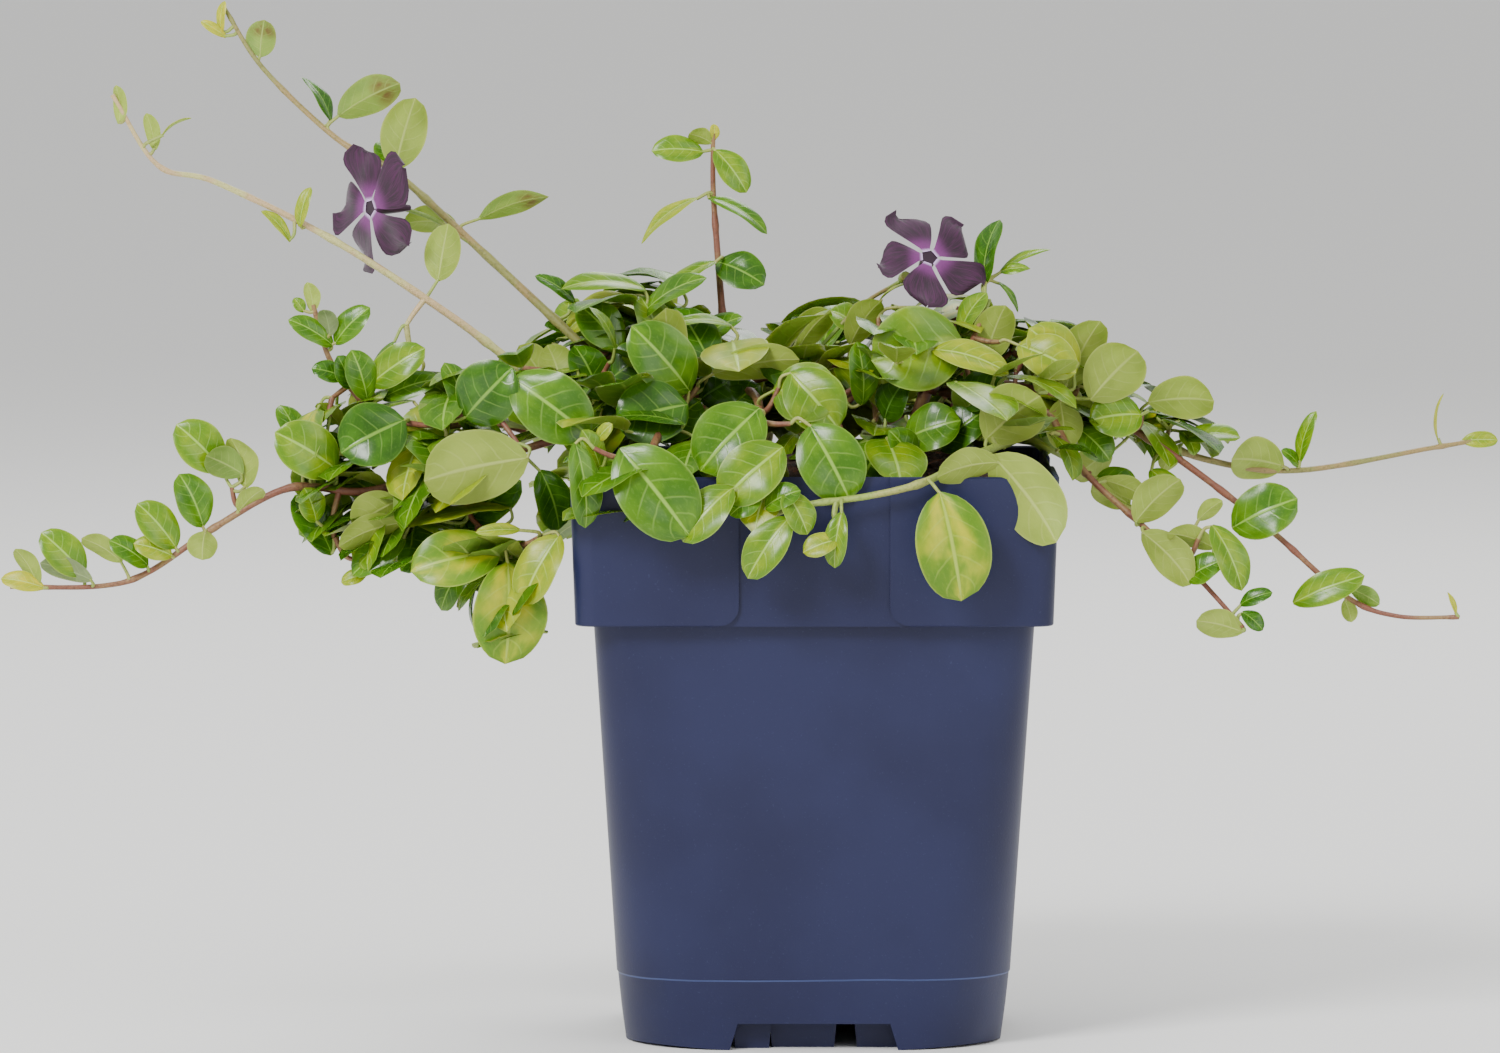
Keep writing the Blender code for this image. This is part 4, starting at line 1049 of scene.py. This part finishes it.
def pot_size(height, inset, collar):
    """Half width and corner radius of the pot's body or collar at a height."""
    if collar:
        start, end, low, high = COLLAR_LOW, POT_HEIGHT, COLLAR_FOOT, COLLAR_RIM
    elif height < MOULD_LINE:
        start, end, low, high = 0.0, MOULD_LINE, AT_FOOT, AT_LINE
    else:
        start, end, low, high = MOULD_LINE, COLLAR_LOW, AT_LINE, UNDER_COLLAR
    share = (height - start) / (end - start)
    return [a + (b - a) * share - inset for a, b in zip(low, high)]


def solid_piece(name, corners, faces):
    """A closed body from corners in millimetres, with its faces pointing out."""
    bm = bmesh.new()
    verts = [bm.verts.new(Vector(corner) * MM) for corner in corners]
    for face in faces:
        bm.faces.new([verts[i] for i in face])
    bmesh.ops.recalc_face_normals(bm, faces=bm.faces)
    if bm.calc_volume(signed=True) < 0:
        bmesh.ops.reverse_faces(bm, faces=bm.faces)
    mesh = bpy.data.meshes.new(name)
    bm.to_mesh(mesh)
    bm.free()
    thing = bpy.data.objects.new(name, mesh)
    bpy.context.scene.collection.objects.link(thing)
    return thing


def prism(name, outline, near, far, side):
    """A body between two upright copies of an outline, turned to one side of the pot."""
    turn = Matrix.Rotation(side * math.pi / 2, 3, "Z")
    count = len(outline)
    corners = [turn @ Vector((x, near(z), z)) for x, z in outline]
    corners += [turn @ Vector((x, far(z), z)) for x, z in outline]
    faces = [(i, (i + 1) % count, count + (i + 1) % count, count + i) for i in range(count)]
    return solid_piece(name, corners, faces + [range(count), range(count, 2 * count)])


def select_only(thing):
    bpy.ops.object.select_all(action="DESELECT")
    bpy.context.view_layer.objects.active = thing
    thing.select_set(True)


def cut_or_join(thing, tool, operation):
    """Cut a tool's shape out of a thing, or join it to the thing."""
    select_only(thing)
    modifier = thing.modifiers.new("step", "BOOLEAN")
    modifier.operation = operation
    modifier.solver = "EXACT"
    modifier.object = tool
    bpy.ops.object.modifier_apply(modifier=modifier.name)
    bpy.data.objects.remove(tool)


def collar_face(z):
    """Where the front face of the collar lies at a height."""
    return -pot_size(z, 0.0, True)[0]


def make_pot():
    """The pot: a shell of rings, joined to its bars, with panels, lips and notches cut out."""
    corners = []
    for height, inset, collar, lift in POT_PROFILE:
        half, radius = pot_size(height if collar else min(height, COLLAR_LOW), inset, collar)
        corners += [(x, y, height + lift * math.sin(math.pi * place))
                    for x, y, place in rounded_square(half, radius)]
    ring = 4 * (POT_ARC + 1)
    faces = [(level * ring + i, level * ring + (i + 1) % ring,
              (level + 1) * ring + (i + 1) % ring, (level + 1) * ring + i)
             for level in range(len(POT_PROFILE) - 1) for i in range(ring)]
    faces += [range(ring), range(len(corners) - ring, len(corners))]
    shell = solid_piece("pot_shell", corners, faces)
    for number, (low, high, reach) in enumerate(BARS):
        outline = ((low + BAR_DRAFT, 0.0), (high - BAR_DRAFT, 0.0), (high, BAR_HIGH),
                   (low, BAR_HIGH))
        bar = prism(f"bar_{number}", outline, lambda z: -reach, lambda z: reach, 0)
        cut_or_join(shell, bar, "UNION")
    turns = [math.pi / 2 * k / PANEL_STEPS for k in range(PANEL_STEPS + 1)]
    flare = [(PANEL_HALF + PANEL_FLARE * (1 - math.cos(turn)),
              COLLAR_LOW + 0.15 + PANEL_FLARE * (1 - math.sin(turn))) for turn in turns]
    panel = [(PANEL_HALF, POT_HEIGHT + 1)] + flare + [(flare[-1][0], COLLAR_LOW - 1)]
    panel += [(-x, z) for x, z in reversed(panel)]
    lip = ((PANEL_HALF, POT_HEIGHT + 1), (PANEL_HALF, LIP_LOW), (-PANEL_HALF, LIP_LOW),
           (-PANEL_HALF, POT_HEIGHT + 1))
    cuts = (("panel", panel, lambda z: collar_face(z) - 2, lambda z: collar_face(z) + PANEL_DEEP),
            ("lip", lip, lambda z: collar_face(z) - 2, lambda z: collar_face(z) + LIP_DEEP),
            ("notch", NOTCH, lambda z: NOTCH_NEAR, lambda z: NOTCH_FAR))
    for side in range(4):
        for name, outline, near, far in cuts:
            cut_or_join(shell, prism(f"{name}_{side}", outline, near, far, side), "DIFFERENCE")
    return shell


shell = make_pot()
shell.data.materials.append(plastic_finish())
select_only(shell)
bpy.ops.object.shade_smooth_by_angle(angle=SMOOTH_BELOW)
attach(shell, "root")
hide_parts("pot")

# Compost
SOIL_EDGE = 127.5
SOIL_DOME = 6.0
SOIL_HALF = 53.0
# Loose grains on it: how far out, how many, and every how many is perlite or else a fibre
LOOSE_HALF = 51
LOOSE_GRAINS = 620
PERLITE_EVERY = 22
FIBRE_EVERY = 5
FIBRE_RADIUS = 0.22
GRAIN_SIDES = 5


def peat_finish():
    """Moist milled peat: to the eye nearly black brown and dull, with paler crumbs of 3 mm."""
    material, shader = new_material("moist_peat_compost")
    add = partial(add_node, material)
    crumb = add("TexNoise", {"Vector": add("TexCoord", (), "Object"), "Scale": 1 / (3 * MM),
                             "Detail": 6.0, "Roughness": 0.7}, "Fac")
    paler = add("MapRange", (crumb, 0.4, 0.65), **SMOOTH)
    feed(shader, {
        "Base Color": coated(material, "241710", (paler, "54392A")),
        "Normal": add("Bump", {"Height": crumb, "Strength": 1.0, "Distance": 1.5 * MM}),
        "Roughness": 0.95})
    return material


def plain_finish(name, code, roughness):
    """A finish too small or too far off to show a pattern: to the eye one dull colour."""
    material, shader = new_material(name)
    feed(shader, {"Base Color": tone(code), "Roughness": roughness})
    return material


def soil_top(x, y):
    """Height of the compost's domed top."""
    share = min(1.0, max(abs(x), abs(y)) / SOIL_HALF)
    return SOIL_EDGE + SOIL_DOME * math.cos(share * math.pi / 2)


def add_grain(pile, place, size):
    """A small lump with five sides round its middle and a point above and below."""
    spin = chance.uniform(0, math.tau)
    corners = [place + Vector((0, 0, size * chance.uniform(0.5, 0.9)))]
    for level in (0.35, -0.35):
        for k in range(GRAIN_SIDES):
            angle = spin + math.tau * k / GRAIN_SIDES + level
            reach = size * chance.uniform(0.7, 1.15)
            corners.append(place + Vector((reach * math.cos(angle), reach * math.sin(angle),
                                           size * level)))
    corners.append(place - Vector((0, 0, size * 0.7)))
    pairs = [(1 + k, 1 + (k + 1) % GRAIN_SIDES) for k in range(GRAIN_SIDES)]
    faces = [(0, a, b) for a, b in pairs]
    faces += [(a, a + GRAIN_SIDES, b + GRAIN_SIDES, b) for a, b in pairs]
    faces += [(len(corners) - 1, b + GRAIN_SIDES, a + GRAIN_SIDES) for a, b in pairs]
    pile.add(corners, faces, [0] * len(faces), [(0, 0)] * sum(len(face) for face in faces))


peat = peat_finish()
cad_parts["soil"].data.materials.clear()
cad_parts["soil"].data.materials.append(peat)
compost = Pile()
perlite = Pile()
for number in range(LOOSE_GRAINS):
    x = chance.uniform(-LOOSE_HALF, LOOSE_HALF)
    y = chance.uniform(-LOOSE_HALF, LOOSE_HALF)
    place = Vector((x, y, soil_top(x, y) - 0.1))
    if number % PERLITE_EVERY == 0:
        add_grain(perlite, place, chance.uniform(0.6, 1.3))
    elif number % FIBRE_EVERY == 0:
        way = Vector((chance.uniform(-1, 1), chance.uniform(-1, 1), chance.uniform(0, 0.35)))
        reach = chance.uniform(2, 6)
        bend = Vector((chance.uniform(-1, 1), chance.uniform(-1, 1), 0.3))
        route = smooth_route((place, place + way * reach / 2 + bend, place + way * reach), 3)
        add_tube(compost, route, [FIBRE_RADIUS] * len(route), 4, 1)
    else:
        add_grain(compost, place, chance.uniform(0.7, 2.0))
compost.piece("compost_crumbs", [peat, plain_finish("peat_fibre", "6A4632", 0.9)], [], "peat")
perlite.piece("perlite_grains", [plain_finish("white_perlite", "E6E2D6", 0.85)], [], "peat")

# A wide, flat floor of white paper under an even white sky, with three soft lamps
FLOOR_WIDE = 40.0
SKY_STRENGTH = 0.8
LAMP_AIM = Vector((0, 0, 0.12))
# Name, place and size in metres, power in watts
LAMPS = (
    ("key", (-0.9, -1.3, 1.3), 0.6, 38),
    ("fill", (1.2, -1.1, 0.8), 1.0, 7),
    ("back", (0.3, 1.2, 1.4), 1.0, 16),
)
bpy.ops.object.select_all(action="DESELECT")
bpy.ops.mesh.primitive_plane_add(size=FLOOR_WIDE, location=(0, FLOOR_WIDE / 4, 0))
floor = bpy.context.object
floor.name = "floor"
floor.data.materials.append(plain_finish("white_studio_paper", "F4F4F2", 0.9))

world = bpy.data.worlds.new("studio")
bpy.context.scene.world = world
world.use_nodes = True
feed(world.node_tree.nodes["Background"], {"Color": tone("FFFFFF"), "Strength": SKY_STRENGTH})

for name, place, size, power in LAMPS:
    light = bpy.data.lights.new(name, "AREA")
    light.size = size
    light.energy = power
    lamp = bpy.data.objects.new(name, light)
    lamp.location = place
    lamp.rotation_euler = (LAMP_AIM - Vector(place)).to_track_quat("-Z", "Y").to_euler()
    bpy.context.scene.collection.objects.link(lamp)

lens = bpy.data.cameras.new("camera")
lens.sensor_width = SENSOR
lens.lens = FOCAL_PIXELS * SENSOR / PHOTO_WIDE
camera = bpy.data.objects.new("camera", lens)
camera.location = CAMERA_PLACE * MM
camera.rotation_euler = CAMERA_AHEAD.to_track_quat("-Z", "Y").to_euler()
bpy.context.scene.collection.objects.link(camera)
bpy.context.scene.camera = camera
